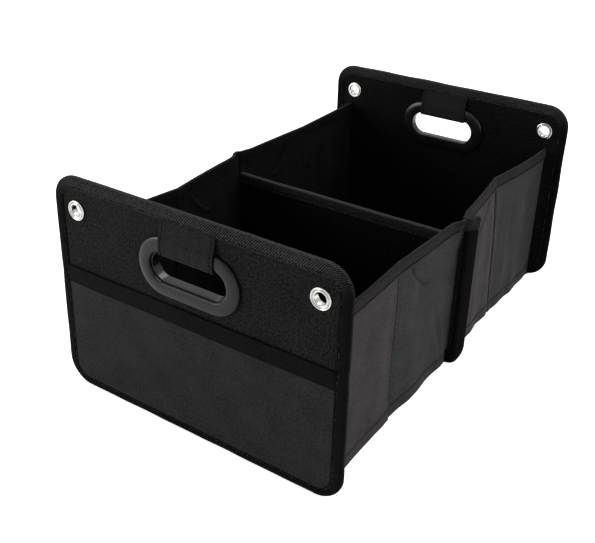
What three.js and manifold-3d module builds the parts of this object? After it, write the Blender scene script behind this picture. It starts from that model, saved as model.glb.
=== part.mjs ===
// Folding storage box of cloth over stiff boards, with a divider, two hand grips and four eyelets.
// Millimetres, +Z up. X is the width, Y the length; the origin is under the middle of the box.
// The box is two like halves, set back to back at the divider, which stands at Y = 0.

import * as THREE from 'three';
import { mergeVertices } from 'three/addons/utils/BufferGeometryUtils.js';
import Module from 'manifold-3d';

const wasm = await Module();
wasm.setup();

// Driving dimensions of the whole box: the end panels stand out past the walls and rise above them
const boxLength = 500;
const bodyWidth = 276;
const wallHeight = 174.5;
const panelOverhang = 22;
const panelRise = 50.5;
const panelCornerRadius = 26;
const dividerDrop = 25;

// Sheet goods
const boardThickness = 2.4;
const clothThickness = 0.9;
const tapeThickness = 1.0;
const wallThickness = 1.6;
const pocketThickness = 0.8;
const layerGap = 0.15;
const seamGap = 0.3;

// Widths of the sewn tapes as they show
const topTapeWidth = 12;
const sideTapeWidth = 11;
const bottomTapeWidth = 9;
const dividerTapeWidth = 11.5;
const finTapeWidth = 12;
const hemWidth = 13.5;
const bindingRound = 1.2;
const windowLeastRadius = 1;

// Pocket on the front panel: its upper edge lies this far under the grip
const pocketDrop = 8;
const pocketBandWidth = 17.5;

// Hand grip: an oblong ring on each face of the panel, its middle this far under the panel's top.
// The inner half's sleeve ends this far under the crown of the outer half.
const gripOpeningLength = 85;
const gripOpeningHeight = 31;
const gripRimWidth = 13;
const gripDrop = 56;
const gripCrown = 4.2;
const gripEdgeRound = 2.6;
const gripLipRound = 1.2;
const gripBarrelWall = 2.5;
const gripSleeveWall = 1.4;
const gripSleeveSink = 3.2;
const gripSlotClearance = 0.3;

// Strap that wraps the upper bar of the grip
const strapWidth = 60;
const strapThickness = 1.4;
const strapClearance = 0.8;
const strapRamp = 5.5;

// Eyelets, set in from the sides and the top of the panel
const eyeletBore = 11.2;
const eyeletOuter = 20.5;
const eyeletBarrelWall = 1.0;
const eyeletBead = 1.7;
const eyeletInset = 27.5;
const eyeletDrop = 32.5;
const washerThickness = 0.7;
const eyeletClearance = 0.3;

// Side walls: how far each half's upright crease is drawn in at the hem, and its share of that at the foot
const creaseFrontRight = 4;
const creaseFrontLeft = 12;
const creaseRearRight = 13;
const creaseRearLeft = 4;
const creaseFootShare = 0.2;
const creaseSharpness = 1.4;
const creaseSteps = 4;
const creaseRiseSteps = 6;
const wallCornerReach = 6.4;
const wallToGround = 0.15;

// Bound fins where the walls meet the divider
const finCornerRadius = 18;
const finTopRadius = 4;

// Floor boards and their cloth hinges
const floorSideClearance = 4.5;
const hingeTapeThickness = 0.8;
const hingeTapeLap = 4;
const foldClearance = 0.7;

// Blank label on the lining of the rear panel
const labelWidth = 34;
const labelHeight = 24;
const labelThickness = 0.4;
const labelDrop = 34;
const labelSideGap = 5;

// Roundness of the curves
const cornerSegments = 6;
const gripSegments = 32;
const eyeletSegments = 20;
const roundSteps = 2;
const curveSteps = 3;

// How far a cutting tool runs past what it cuts
const overshoot = 1;

// Sizes that follow from those above
const panelWidth = bodyWidth + 2 * panelOverhang;
const panelHeight = wallHeight + panelRise;
const dividerHeight = wallHeight - dividerDrop;
const panelDepth = 2 * tapeThickness + 2 * clothThickness + boardThickness + 4 * layerGap;
const outerClothAt = tapeThickness + layerGap;
const boardAt = outerClothAt + clothThickness + layerGap;
const liningAt = boardAt + boardThickness + layerGap;
const liningFace = liningAt + clothThickness;
const panelMid = panelDepth / 2;

const wallOuter = bodyWidth / 2;
const wallInner = wallOuter - wallThickness;
const wallEnd = -boxLength / 2 + panelDepth + seamGap;
const hemReach = layerGap + tapeThickness;
const legGap = 0.2;
const legFoot = tapeThickness + layerGap;
const finOuter = wallOuter + panelOverhang;

const gripRadius = gripOpeningHeight / 2;
const gripOuterRadius = gripRadius + gripRimWidth;
const gripStraight = (gripOpeningLength - gripOpeningHeight) / 2;
const gripSlotRadius = gripRadius + gripBarrelWall + gripSlotClearance;
const gripSeat = outerClothAt - layerGap;
const gripCentreHeight = panelHeight - gripDrop;
const pocketHeight = gripCentreHeight - gripOuterRadius - pocketDrop;
const eyeletX = panelWidth / 2 - eyeletInset;
const eyeletHeight = panelHeight - eyeletDrop;
const labelTop = wallHeight - labelDrop;

const dividerHalf = boardThickness / 2 + layerGap + clothThickness;
const dividerHalfWidth = wallInner - seamGap;

const floorThickness = boardThickness + 2 * (layerGap + clothThickness);
const floorHalfWidth = wallInner - floorSideClearance;
const pivotHeight = hingeTapeThickness + layerGap;
const innerPivot = -(dividerHalf + floorThickness + foldClearance);
const outerPivot = -boxLength / 2 + panelDepth + floorThickness + foldClearance;
const creasePivot = (innerPivot + outerPivot) / 2;

// Materials
function material(color, roughness, metalness = 0) {
  return new THREE.MeshStandardMaterial({ color, roughness, metalness });
}

const cloth = () => material(0x202022, 0.85);
const wallCloth = () => material(0x2c2a2a, 0.8);
const lining = () => material(0x0d0d0e, 0.9);
const tape = () => material(0x0a0a0b, 0.8);
const ribbed = () => material(0x151516, 0.75);
const board = () => material(0x3a3a38, 0.9);
const plastic = () => material(0x26272a, 0.42);
const chrome = () => material(0xd8dadd, 0.16, 1);
const satin = () => material(0x101011, 0.5);

// Solids

function tidy(geometry) {
  const bare = geometry.clone();
  bare.deleteAttribute('normal');
  bare.deleteAttribute('uv');
  return mergeVertices(bare, 1e-4);
}

function volume(geometry) {
  const p = geometry.attributes.position;
  const index = geometry.index;
  const a = new THREE.Vector3();
  const b = new THREE.Vector3();
  const c = new THREE.Vector3();
  let sum = 0;
  for (let i = 0; i < index.count; i += 3) {
    a.fromBufferAttribute(p, index.getX(i));
    b.fromBufferAttribute(p, index.getX(i + 1));
    c.fromBufferAttribute(p, index.getX(i + 2));
    sum += a.dot(b.cross(c)) / 6;
  }
  return sum;
}

function turnFaces(geometry) {
  const index = geometry.index;
  for (let i = 0; i < index.count; i += 3) {
    const first = index.getX(i);
    index.setX(i, index.getX(i + 1));
    index.setX(i + 1, first);
  }
  return geometry;
}

// One closed body with shared corners, its faces pointing out
function closed(geometry) {
  const body = tidy(geometry);
  return volume(body) < 0 ? turnFaces(body) : body;
}

function toSolid(geometry) {
  const body = closed(geometry);
  const vertProperties = new Float32Array(body.attributes.position.array);
  const triVerts = new Uint32Array(body.index.array);
  return new wasm.Manifold(new wasm.Mesh({ numProp: 3, vertProperties, triVerts }));
}

function toGeometry(solid) {
  const mesh = solid.getMesh();
  const geometry = new THREE.BufferGeometry();
  geometry.setAttribute('position', new THREE.BufferAttribute(mesh.vertProperties, 3));
  geometry.setIndex(new THREE.BufferAttribute(mesh.triVerts, 1));
  return geometry;
}

function cut(geometry, ...tools) {
  let solid = toSolid(geometry);
  for (const tool of tools) solid = solid.subtract(toSolid(tool));
  return toGeometry(solid);
}

function mirrorX(geometry) {
  return geometry.clone().scale(-1, 1, 1);
}

function meshOf(name, geometry, look) {
  const body = closed(geometry);
  body.computeVertexNormals();
  const mesh = new THREE.Mesh(body, look);
  mesh.name = name;
  return mesh;
}

// Outlines drawn in X and Z

function roundedRect(left, bottom, right, top, radius) {
  const r = Math.min(radius, (right - left) / 2, (top - bottom) / 2);
  const shape = new THREE.Shape();
  shape.moveTo(left + r, bottom);
  shape.absarc(right - r, bottom + r, r, -Math.PI / 2, 0);
  shape.absarc(right - r, top - r, r, 0, Math.PI / 2);
  shape.absarc(left + r, top - r, r, Math.PI / 2, Math.PI);
  shape.absarc(left + r, bottom + r, r, Math.PI, 1.5 * Math.PI);
  return shape;
}

function slotPath(radius) {
  const path = new THREE.Path();
  path.absarc(gripStraight, gripCentreHeight, radius, -Math.PI / 2, Math.PI / 2);
  path.absarc(-gripStraight, gripCentreHeight, radius, Math.PI / 2, 1.5 * Math.PI);
  return path;
}

function holePath(x, z, radius) {
  const path = new THREE.Path();
  path.absarc(x, z, radius, 0, 2 * Math.PI);
  return path;
}

// A plate: an outline in X and Z, with its thickness along Y
function plate(shape, start, thickness, segments = cornerSegments) {
  const geometry = new THREE.ExtrudeGeometry(shape, {
    depth: thickness,
    bevelEnabled: false,
    curveSegments: segments,
  });
  geometry.rotateX(Math.PI / 2);
  return geometry.translate(0, start + thickness, 0);
}

// A plate whose edges are rounded: the outline is given without the rounding, which grows it again
function roundedPlate(shape, start, thickness, round) {
  const geometry = new THREE.ExtrudeGeometry(shape, {
    depth: thickness - 2 * round,
    bevelThickness: round,
    bevelSize: round,
    bevelSegments: roundSteps,
    curveSegments: cornerSegments,
  });
  geometry.rotateX(Math.PI / 2);
  return geometry.translate(0, start + thickness - round, 0);
}

// A plate that runs past the whole box both ways, to cut with
function throughPlate(shape) {
  return plate(shape, -boxLength, 2 * boxLength);
}

// A bar: a section in Y and Z, run along X
function bar(section, left, right) {
  const geometry = new THREE.ExtrudeGeometry(section, {
    depth: right - left,
    bevelEnabled: false,
    curveSegments: cornerSegments,
  });
  const alongX = new THREE.Matrix4().makeBasis(
    new THREE.Vector3(0, 1, 0),
    new THREE.Vector3(0, 0, 1),
    new THREE.Vector3(1, 0, 0),
  );
  return geometry.applyMatrix4(alongX).translate(left, 0, 0);
}

// A column: an outline in X and Y, run up along Z
function column(plan, bottom, top, steps = 1) {
  const geometry = new THREE.ExtrudeGeometry(plan, {
    depth: top - bottom,
    bevelEnabled: false,
    steps,
  });
  return geometry.translate(0, 0, bottom);
}

function polygon(points) {
  return new THREE.Shape(points.map(([u, v]) => new THREE.Vector2(u, v)));
}

function rectangle(left, bottom, right, top) {
  return polygon([
    [left, bottom],
    [right, bottom],
    [right, top],
    [left, top],
  ]);
}

// End panels

function panelOutline(inset) {
  const half = panelWidth / 2 - inset;
  return roundedRect(-half, inset, half, panelHeight - inset, panelCornerRadius - inset);
}

function tapeWindow(clearance = 0) {
  const half = panelWidth / 2 - sideTapeWidth - clearance;
  const bottom = bottomTapeWidth + clearance;
  const top = panelHeight - topTapeWidth - clearance;
  const radius = Math.max(panelCornerRadius - sideTapeWidth - clearance, windowLeastRadius);
  return roundedRect(-half, bottom, half, top, radius);
}

// One sheet of the panel, with the slot for the grip and the eyelet holes
function panelSheet(start, thickness) {
  const outline = panelOutline(tapeThickness + layerGap);
  const holeRadius = eyeletBore / 2 + eyeletBarrelWall + eyeletClearance;
  outline.holes.push(slotPath(gripSlotRadius));
  outline.holes.push(holePath(-eyeletX, eyeletHeight, holeRadius));
  outline.holes.push(holePath(eyeletX, eyeletHeight, holeRadius));
  return plate(outline, start, thickness);
}

// Binding tape: a channel with rounded edges, folded round the edge of the panel
function panelBinding() {
  const body = roundedPlate(panelOutline(bindingRound), 0, panelDepth, bindingRound);
  const channel = plate(panelOutline(tapeThickness), tapeThickness, panelDepth - 2 * tapeThickness);
  return cut(body, channel, throughPlate(tapeWindow()));
}

function pocketCloth() {
  const window = toSolid(throughPlate(tapeWindow(layerGap)));
  const start = outerClothAt - layerGap - pocketThickness;
  const top = pocketHeight - pocketThickness - layerGap;
  const sheet = toSolid(plate(rectangle(-panelWidth, 0, panelWidth, top), start, pocketThickness));
  return toGeometry(sheet.intersect(window));
}

// Band folded over the upper edge of the pocket
function pocketBand() {
  const back = outerClothAt - layerGap;
  const clothFront = back - pocketThickness;
  const legBack = clothFront - layerGap;
  const legFront = legBack - pocketThickness;
  const foot = pocketHeight - pocketBandWidth;
  const half = panelWidth / 2 - sideTapeWidth - layerGap;
  const section = polygon([
    [legFront, foot],
    [legBack, foot],
    [legBack, pocketHeight - pocketThickness],
    [back, pocketHeight - pocketThickness],
    [back, pocketHeight],
    [legFront, pocketHeight],
  ]);
  return bar(section, -half, half);
}

// Hand grip

// A revolved ring pulled apart at its middle into an oblong one
function oblongRing(profile) {
  const step = (2 * Math.PI) / gripSegments;
  const ring = new THREE.LatheGeometry(profile, gripSegments, step / 2);
  const p = ring.attributes.position;
  for (let i = 0; i < p.count; i += 1) {
    p.setX(i, p.getX(i) + Math.sign(p.getX(i)) * gripStraight);
  }
  return ring.translate(0, 0, gripCentreHeight);
}

// Crowned face of a grip ring, from its outer edge in to the opening; heights rise from the seat
function crownedRim(bore, height) {
  const edge = height * 0.4;
  const path = new THREE.Path();
  path.moveTo(gripOuterRadius, 0);
  path.lineTo(gripOuterRadius, edge);
  path.quadraticCurveTo(gripOuterRadius, height * 0.85, gripOuterRadius - gripEdgeRound, height * 0.93);
  path.quadraticCurveTo((gripOuterRadius + bore) / 2, height * 1.07, bore + gripLipRound, height * 0.97);
  path.quadraticCurveTo(bore, height * 0.95, bore, height - gripLipRound);
  return path.getPoints(curveSteps);
}

// Outer half: crowned ring with a barrel that passes through the panel
function gripOuterHalf() {
  const barrelEnd = liningFace - gripSeat;
  const profile = crownedRim(gripRadius, gripCrown);
  profile.push(new THREE.Vector2(gripRadius, -barrelEnd));
  profile.push(new THREE.Vector2(gripRadius + gripBarrelWall, -barrelEnd));
  profile.push(new THREE.Vector2(gripRadius + gripBarrelWall, 0));
  profile.push(profile[0].clone());
  const ring = oblongRing(profile);
  return ring.scale(1, -1, 1).translate(0, gripSeat, 0);
}

// Inner half: crowned ring with a sleeve that plugs into the outer half's barrel
function gripInnerHalf() {
  const sleeveOuter = gripRadius - layerGap;
  const bore = sleeveOuter - gripSleeveWall;
  const sleeveEnd = gripSeat - gripCrown + gripSleeveSink;
  const sleeveLength = panelDepth - gripSeat - sleeveEnd;
  const profile = crownedRim(bore, gripCrown);
  profile.push(new THREE.Vector2(bore, -sleeveLength));
  profile.push(new THREE.Vector2(sleeveOuter, -sleeveLength));
  profile.push(new THREE.Vector2(sleeveOuter, 0));
  profile.push(profile[0].clone());
  const ring = oblongRing(profile);
  return ring.translate(0, panelDepth - gripSeat, 0);
}

// A ribbon's section: a path given by its left side, thickened to the right
function ribbon(points, thickness) {
  const left = points.map(([u, v]) => new THREE.Vector2(u, v));
  const steps = left.slice(1).map((point, i) => point.clone().sub(left[i]).normalize());
  const right = left.map((point, i) => {
    const before = steps[Math.max(i - 1, 0)];
    const after = steps[Math.min(i, steps.length - 1)];
    const along = before.clone().add(after).normalize();
    const reach = thickness / along.dot(before);
    return new THREE.Vector2(point.x + along.y * reach, point.y - along.x * reach);
  });
  return new THREE.Shape([...left, ...right.reverse()]);
}

// Strap: down the outer face from under the top tape, over the grip, through it and up the lining
function gripStrap() {
  const sheetSide = outerClothAt - layerGap - panelMid;
  const crownSide = gripSeat - gripCrown - layerGap - panelMid;
  const ringTop = gripCentreHeight + gripOuterRadius;
  const bore = gripRadius - layerGap - gripSleeveWall;
  const under = gripCentreHeight + bore - strapClearance;
  const top = panelHeight - topTapeWidth - layerGap;
  const half = [
    [sheetSide, top],
    [sheetSide, ringTop + strapRamp],
    [crownSide, ringTop - layerGap],
    [crownSide, under + strapThickness],
    [crownSide + strapThickness, under],
  ];
  const otherHalf = half.map(([u, v]) => [-u, v]).reverse();
  const section = ribbon([...half, ...otherHalf], strapThickness);
  return bar(section, -strapWidth / 2, strapWidth / 2).translate(0, panelMid, 0);
}

// Eyelets

function eyelet(x) {
  const bore = eyeletBore / 2;
  const outer = eyeletOuter / 2;
  const barrel = bore + eyeletBarrelWall;
  const seat = outerClothAt - layerGap;
  const back = liningFace + layerGap + washerThickness + layerGap;
  const lip = eyeletBarrelWall;
  const path = new THREE.Path();
  path.moveTo(outer, seat);
  path.quadraticCurveTo(outer, seat - eyeletBead, (outer + bore) / 2, seat - eyeletBead);
  path.quadraticCurveTo(bore, seat - eyeletBead, bore, seat);
  path.lineTo(bore, back + lip / 2);
  path.quadraticCurveTo(bore, back + lip, barrel, back + lip);
  path.lineTo(barrel + lip, back + lip);
  path.lineTo(barrel + lip, back);
  path.lineTo(barrel, back);
  path.lineTo(barrel, seat);
  path.lineTo(outer, seat);
  const ring = new THREE.LatheGeometry(path.getPoints(curveSteps), eyeletSegments);
  return ring.translate(x, 0, eyeletHeight);
}

function eyeletWasher(x) {
  const inner = eyeletBore / 2 + eyeletBarrelWall + layerGap;
  const outer = eyeletOuter / 2;
  const near = liningFace + layerGap;
  const far = near + washerThickness;
  const profile = [
    new THREE.Vector2(inner, near),
    new THREE.Vector2(outer, near),
    new THREE.Vector2(outer, far),
    new THREE.Vector2(inner, far),
    new THREE.Vector2(inner, near),
  ];
  return new THREE.LatheGeometry(profile, eyeletSegments).translate(x, 0, eyeletHeight);
}

// Label, sewn to the lining by one side near the corner of the compartment
function careLabel(side) {
  const near = wallInner - labelSideGap;
  const left = side > 0 ? near - labelWidth : -near;
  const start = liningFace + layerGap;
  const shape = rectangle(left, labelTop - labelHeight, left + labelWidth, labelTop);
  return plate(shape, start, labelThickness);
}

// Cloth hinge strip under the floor boards, from a standing piece to past the pivot
function hingeTape(from, to) {
  const left = Math.min(from, to);
  const right = Math.max(from, to);
  return bar(rectangle(left, 0, right, hingeTapeThickness), -floorHalfWidth, floorHalfWidth);
}

function endPanel({ name, sides, withPocket, labelSide }) {
  const group = new THREE.Group();
  const add = (piece, geometry, look) => group.add(meshOf(`${name}_${piece}`, geometry, look));
  add('panel_board', panelSheet(boardAt, boardThickness), board());
  add('panel_cloth', panelSheet(outerClothAt, clothThickness), cloth());
  add('panel_lining', panelSheet(liningAt, clothThickness), lining());
  add('panel_binding', panelBinding(), tape());
  add('grip_outer', gripOuterHalf(), plastic());
  add('grip_inner', gripInnerHalf(), plastic());
  add('grip_strap', gripStrap(), ribbed());
  sides.forEach((side, i) => {
    const x = i === 0 ? -eyeletX : eyeletX;
    add(`eyelet_${side}`, eyelet(x), chrome());
    add(`eyelet_washer_${side}`, eyeletWasher(x), chrome());
  });
  if (withPocket) {
    add('pocket', pocketCloth(), cloth());
    add('pocket_band', pocketBand(), ribbed());
  }
  if (labelSide) add('label', careLabel(labelSide), satin());
  const pivot = outerPivot + boxLength / 2;
  add('outer_hinge_tape', hingeTape(panelDepth + layerGap, pivot + hingeTapeLap), tape());
  group.position.y = -boxLength / 2;
  return group;
}

// Side walls

// How far the wall is drawn in at a place along its length: nothing at the ends, most at the crease
function drawnIn(y, crease) {
  const middle = wallEnd / 2;
  const share = 1 - Math.min(Math.abs(y - middle) / Math.abs(middle), 1);
  return crease * share ** creaseSharpness;
}

function wallStations(start, crease) {
  const stations = [];
  const count = 2 * creaseSteps;
  for (let i = 0; i < count; i += 1) {
    const y = wallEnd + ((-wallCornerReach - wallEnd) * i) / count;
    stations.push([y, drawnIn(y, crease)]);
  }
  stations[0][0] = start;
  return stations;
}

// Plan of a half wall with its leg turned out into the fin. margin grows it on every side
function wallPlan(crease, margin, start, middle) {
  const legEnd = finOuter - hemReach + margin;
  const legBack = -legGap - wallThickness - margin;
  const outer = wallStations(start, crease).map(([y, drawn]) => [wallOuter + margin - drawn, y]);
  const inner = wallStations(start, crease).map(([y, drawn]) => [wallInner - margin - drawn, y]);
  return polygon([
    ...outer,
    [wallOuter + margin, legBack],
    [legEnd, legBack],
    [legEnd, middle],
    [wallInner - margin, middle],
    ...inner.reverse(),
  ]);
}

// Plan of the turned-in foot, from the middle of the wall's thickness in to the floor boards
function footPlan(crease) {
  const wallMid = (wallOuter + wallInner) / 2;
  const inner = floorHalfWidth + layerGap;
  const end = -dividerHalf - seamGap;
  const stations = wallStations(wallEnd, crease * creaseFootShare);
  const outer = stations.map(([y, drawn]) => [wallMid - drawn, y]);
  return polygon([...outer, [wallMid, end], [inner, end], [inner, wallEnd]]);
}

// Eases the crease towards the foot of the wall, in a straight line with the height
function easeCrease(geometry, crease) {
  const p = geometry.attributes.position;
  for (let i = 0; i < p.count; i += 1) {
    const share = creaseFootShare + (1 - creaseFootShare) * (p.getZ(i) / wallHeight);
    p.setX(i, p.getX(i) + drawnIn(p.getY(i), crease) * (1 - share));
  }
  return geometry;
}

// Face of the fin in X and Z, its lower outer corner rounded
function finOutline(left, margin, top, topRadius) {
  const right = finOuter - hemReach + margin;
  const bottom = legFoot - margin;
  const r = Math.min(finCornerRadius - hemReach + margin, right - left);
  const shape = new THREE.Shape();
  shape.moveTo(left, bottom);
  shape.lineTo(right - r, bottom);
  shape.absarc(right - r, bottom + r, r, -Math.PI / 2, 0);
  shape.lineTo(right, top - topRadius);
  if (topRadius > 0) shape.absarc(right - topRadius, top - topRadius, topRadius, 0, Math.PI / 2);
  shape.lineTo(left, top);
  return shape;
}

// Half wall: the sheet, its leg cut to the fin's outline, and its foot turned in along the ground
function halfWall(crease) {
  const top = wallHeight - tapeThickness - layerGap;
  const footTop = pivotHeight - layerGap;
  const sheet = column(wallPlan(crease, 0, wallEnd, -legGap), wallToGround, top, creaseRiseSteps);
  const foot = column(footPlan(crease), wallToGround, footTop);
  const leg = toSolid(throughPlate(finOutline(0, 0, top, 0)));
  const wall = toSolid(throughPlate(rectangle(0, 0, wallOuter, top)));
  const cutSheet = toSolid(easeCrease(sheet, crease)).intersect(leg.add(wall));
  return toGeometry(cutSheet.add(toSolid(foot)));
}

// Hem tape: a channel over the upper edge of the wall and of its leg
function halfHem(crease) {
  const foot = wallHeight - hemWidth;
  const shell = column(wallPlan(crease, hemReach, wallEnd, -legGap / 4), foot, wallHeight);
  const channelTop = wallHeight - tapeThickness;
  const roomPlan = wallPlan(crease, layerGap, wallEnd - overshoot, legGap);
  const room = column(roomPlan, foot - overshoot, channelTop);
  return cut(easeCrease(shell, crease), easeCrease(room, crease));
}

// Binding tape of the fin: a channel round its outer edge and lower corner
function finBinding() {
  const top = wallHeight - hemWidth - seamGap;
  const left = wallOuter + seamGap;
  const half = legGap + wallThickness + layerGap;
  const bodyHalf = half + tapeThickness;
  const body = plate(finOutline(left, hemReach, top, finTopRadius), -bodyHalf, 2 * bodyHalf);
  const room = plate(finOutline(left - overshoot, layerGap, top + overshoot, 0), -half, 2 * half);
  const open = hemReach - finTapeWidth;
  const window = throughPlate(finOutline(left - overshoot, open, top + overshoot, 0));
  return cut(body, room, window);
}

// Floor boards, each in a cloth sleeve

function floorPanel(from, to) {
  const near = from + layerGap;
  const far = to - layerGap;
  const top = pivotHeight + floorThickness;
  const sleeve = rectangle(near, pivotHeight, far, top);
  const inset = clothThickness;
  const room = rectangle(near + inset, pivotHeight + inset, far - inset, top - inset);
  sleeve.holes.push(new THREE.Path(room.getPoints()));
  const core = rectangle(
    near + inset + layerGap,
    pivotHeight + inset + layerGap,
    far - inset - layerGap,
    top - inset - layerGap,
  );
  return {
    sleeve: bar(sleeve, -floorHalfWidth, floorHalfWidth),
    core: bar(core, -floorHalfWidth + seamGap, floorHalfWidth - seamGap),
  };
}

// One half of the box, as seen from its own end: panel, walls, hems and floor
function halfBox({ name, sides, creases, withPocket, labelSide }) {
  const group = new THREE.Group();
  group.add(endPanel({ name, sides, withPocket, labelSide }));
  group.add(meshOf(`${name}_wall_${sides[0]}`, mirrorX(halfWall(creases[0])), wallCloth()));
  group.add(meshOf(`${name}_wall_${sides[1]}`, halfWall(creases[1]), wallCloth()));
  group.add(meshOf(`${name}_hem_${sides[0]}`, mirrorX(halfHem(creases[0])), ribbed()));
  group.add(meshOf(`${name}_hem_${sides[1]}`, halfHem(creases[1]), ribbed()));
  const outer = floorPanel(outerPivot, creasePivot);
  const inner = floorPanel(creasePivot, innerPivot);
  group.add(meshOf(`${name}_floor_outer_sleeve`, outer.sleeve, lining()));
  group.add(meshOf(`${name}_floor_outer_board`, outer.core, board()));
  group.add(meshOf(`${name}_floor_inner_sleeve`, inner.sleeve, lining()));
  group.add(meshOf(`${name}_floor_inner_board`, inner.core, board()));
  const tapeEnd = innerPivot - hingeTapeLap;
  group.add(meshOf(`${name}_inner_hinge_tape`, hingeTape(-dividerHalf - layerGap, tapeEnd), tape()));
  return group;
}

// Divider with a tape over its upper edge
function divider() {
  const group = new THREE.Group();
  const add = (piece, geometry, look) => group.add(meshOf(`divider_${piece}`, geometry, look));
  const top = dividerHeight - tapeThickness - layerGap;
  const sheet = rectangle(-dividerHalfWidth, 0, dividerHalfWidth, top);
  add('board', plate(sheet, -boardThickness / 2, boardThickness), board());
  add('front_cloth', plate(sheet, -dividerHalf, clothThickness), lining());
  add('rear_cloth', plate(sheet, dividerHalf - clothThickness, clothThickness), lining());
  add('top_tape', bar(dividerTapeSection(), -dividerHalfWidth, dividerHalfWidth), tape());
  return group;
}

// Section of the divider's tape: a channel whose two upper edges are rounded
function dividerTapeSection() {
  const room = dividerHalf + layerGap;
  const over = room + tapeThickness;
  const foot = dividerHeight - dividerTapeWidth;
  const roundedFrom = dividerHeight - bindingRound;
  const section = new THREE.Shape();
  section.moveTo(-over, foot);
  section.lineTo(-room, foot);
  section.lineTo(-room, dividerHeight - tapeThickness);
  section.lineTo(room, dividerHeight - tapeThickness);
  section.lineTo(room, foot);
  section.lineTo(over, foot);
  section.absarc(over - bindingRound, roundedFrom, bindingRound, 0, Math.PI / 2);
  section.absarc(-over + bindingRound, roundedFrom, bindingRound, Math.PI / 2, Math.PI);
  section.closePath();
  return section;
}

const box = new THREE.Group();
box.add(
  halfBox({
    name: 'front',
    sides: ['left', 'right'],
    creases: [creaseFrontLeft, creaseFrontRight],
    withPocket: true,
  }),
);
const rearHalf = halfBox({
  name: 'rear',
  sides: ['right', 'left'],
  creases: [creaseRearRight, creaseRearLeft],
  labelSide: 1,
});
rearHalf.rotation.z = Math.PI;
box.add(rearHalf);
box.add(divider());
box.add(meshOf('fin_binding_right', finBinding(), tape()));
box.add(meshOf('fin_binding_left', mirrorX(finBinding()), tape()));

export default box;
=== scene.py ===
import math

import bpy
import numpy as np
from mathutils import Matrix, Vector


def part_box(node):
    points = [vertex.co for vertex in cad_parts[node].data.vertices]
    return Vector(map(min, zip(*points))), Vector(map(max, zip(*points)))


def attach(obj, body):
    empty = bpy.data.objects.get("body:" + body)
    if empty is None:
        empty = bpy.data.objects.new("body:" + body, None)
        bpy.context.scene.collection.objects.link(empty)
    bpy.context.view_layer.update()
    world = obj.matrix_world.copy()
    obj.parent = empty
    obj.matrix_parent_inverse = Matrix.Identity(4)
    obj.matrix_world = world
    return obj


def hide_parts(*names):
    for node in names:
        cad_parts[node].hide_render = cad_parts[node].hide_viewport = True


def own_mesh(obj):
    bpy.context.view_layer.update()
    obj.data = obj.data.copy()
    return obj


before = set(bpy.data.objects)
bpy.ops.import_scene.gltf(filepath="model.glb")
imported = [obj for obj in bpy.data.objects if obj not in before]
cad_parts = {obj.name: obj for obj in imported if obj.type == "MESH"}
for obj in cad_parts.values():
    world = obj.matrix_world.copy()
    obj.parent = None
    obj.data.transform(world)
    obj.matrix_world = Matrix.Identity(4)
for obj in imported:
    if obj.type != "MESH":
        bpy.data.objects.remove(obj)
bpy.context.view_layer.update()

# Folding storage box of cloth over stiff boards: looks only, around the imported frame.
# Lengths are millimetres until a mesh is made. Every half of the box is built as the front one,
# with its end panel at -Y, and the rear half is turned by half a turn about Z.

MM = 0.001


def corners(node):
    """Lowest and highest corner of a CAD node, in millimetres."""
    low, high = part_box(node)
    return np.array(low) / MM, np.array(high) / MM


# Sizes read from the frame
binding_low, binding_high = corners("front_panel_binding")
cloth_low, cloth_high = corners("front_panel_cloth")
ring_low, ring_high = corners("front_grip_outer")
strap_low, strap_high = corners("front_grip_strap")
eyelet_low, eyelet_high = corners("front_eyelet_right")
wall_low, wall_high = corners("front_wall_right")

PANEL_FACE = binding_low[1]
PANEL_HALF = binding_high[0]
PANEL_TOP = binding_high[2]
PANEL_DEPTH = binding_high[1] - binding_low[1]
COVER_AT = cloth_low[1] - PANEL_FACE
COVER_THICKNESS = cloth_high[1] - cloth_low[1]
LINING_FACE = corners("front_panel_lining")[1][1] - PANEL_FACE
SHEET_INSET = PANEL_HALF - cloth_high[0]

GRIP_OUTER_RADIUS = (ring_high[2] - ring_low[2]) / 2
GRIP_CENTRE = (ring_high[2] + ring_low[2]) / 2
GRIP_STRAIGHT = ring_high[0] - GRIP_OUTER_RADIUS
GRIP_CROWN_AT = ring_low[1] - PANEL_FACE

STRAP_HALF = strap_high[0]
STRAP_TOP = strap_high[2]
STRAP_BOTTOM = strap_low[2]
STRAP_REACH = (strap_high[1] - strap_low[1]) / 2

EYELET_ROLL = 0.45
EYELET_X = (eyelet_low[0] + eyelet_high[0]) / 2
EYELET_Z = (eyelet_low[2] + eyelet_high[2]) / 2
EYELET_RADIUS = (eyelet_high[0] - eyelet_low[0]) / 2 - EYELET_ROLL

WALL_TOP = wall_high[2]
WALL_END = wall_low[1]
LEG_END = wall_high[0]
BAND_FOOT, BAND_TOP = (corner[2] for corner in corners("front_pocket_band"))
HEM_FOOT, HEM_TOP = (corner[2] for corner in corners("front_hem_right"))
FIN_OUTER, FIN_HALF, FIN_TOP = corners("fin_binding_right")[1]
DIVIDER_HALF = corners("divider_board")[1][0]
FLOOR_HALF = corners("front_floor_outer_sleeve")[1][0]

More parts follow.
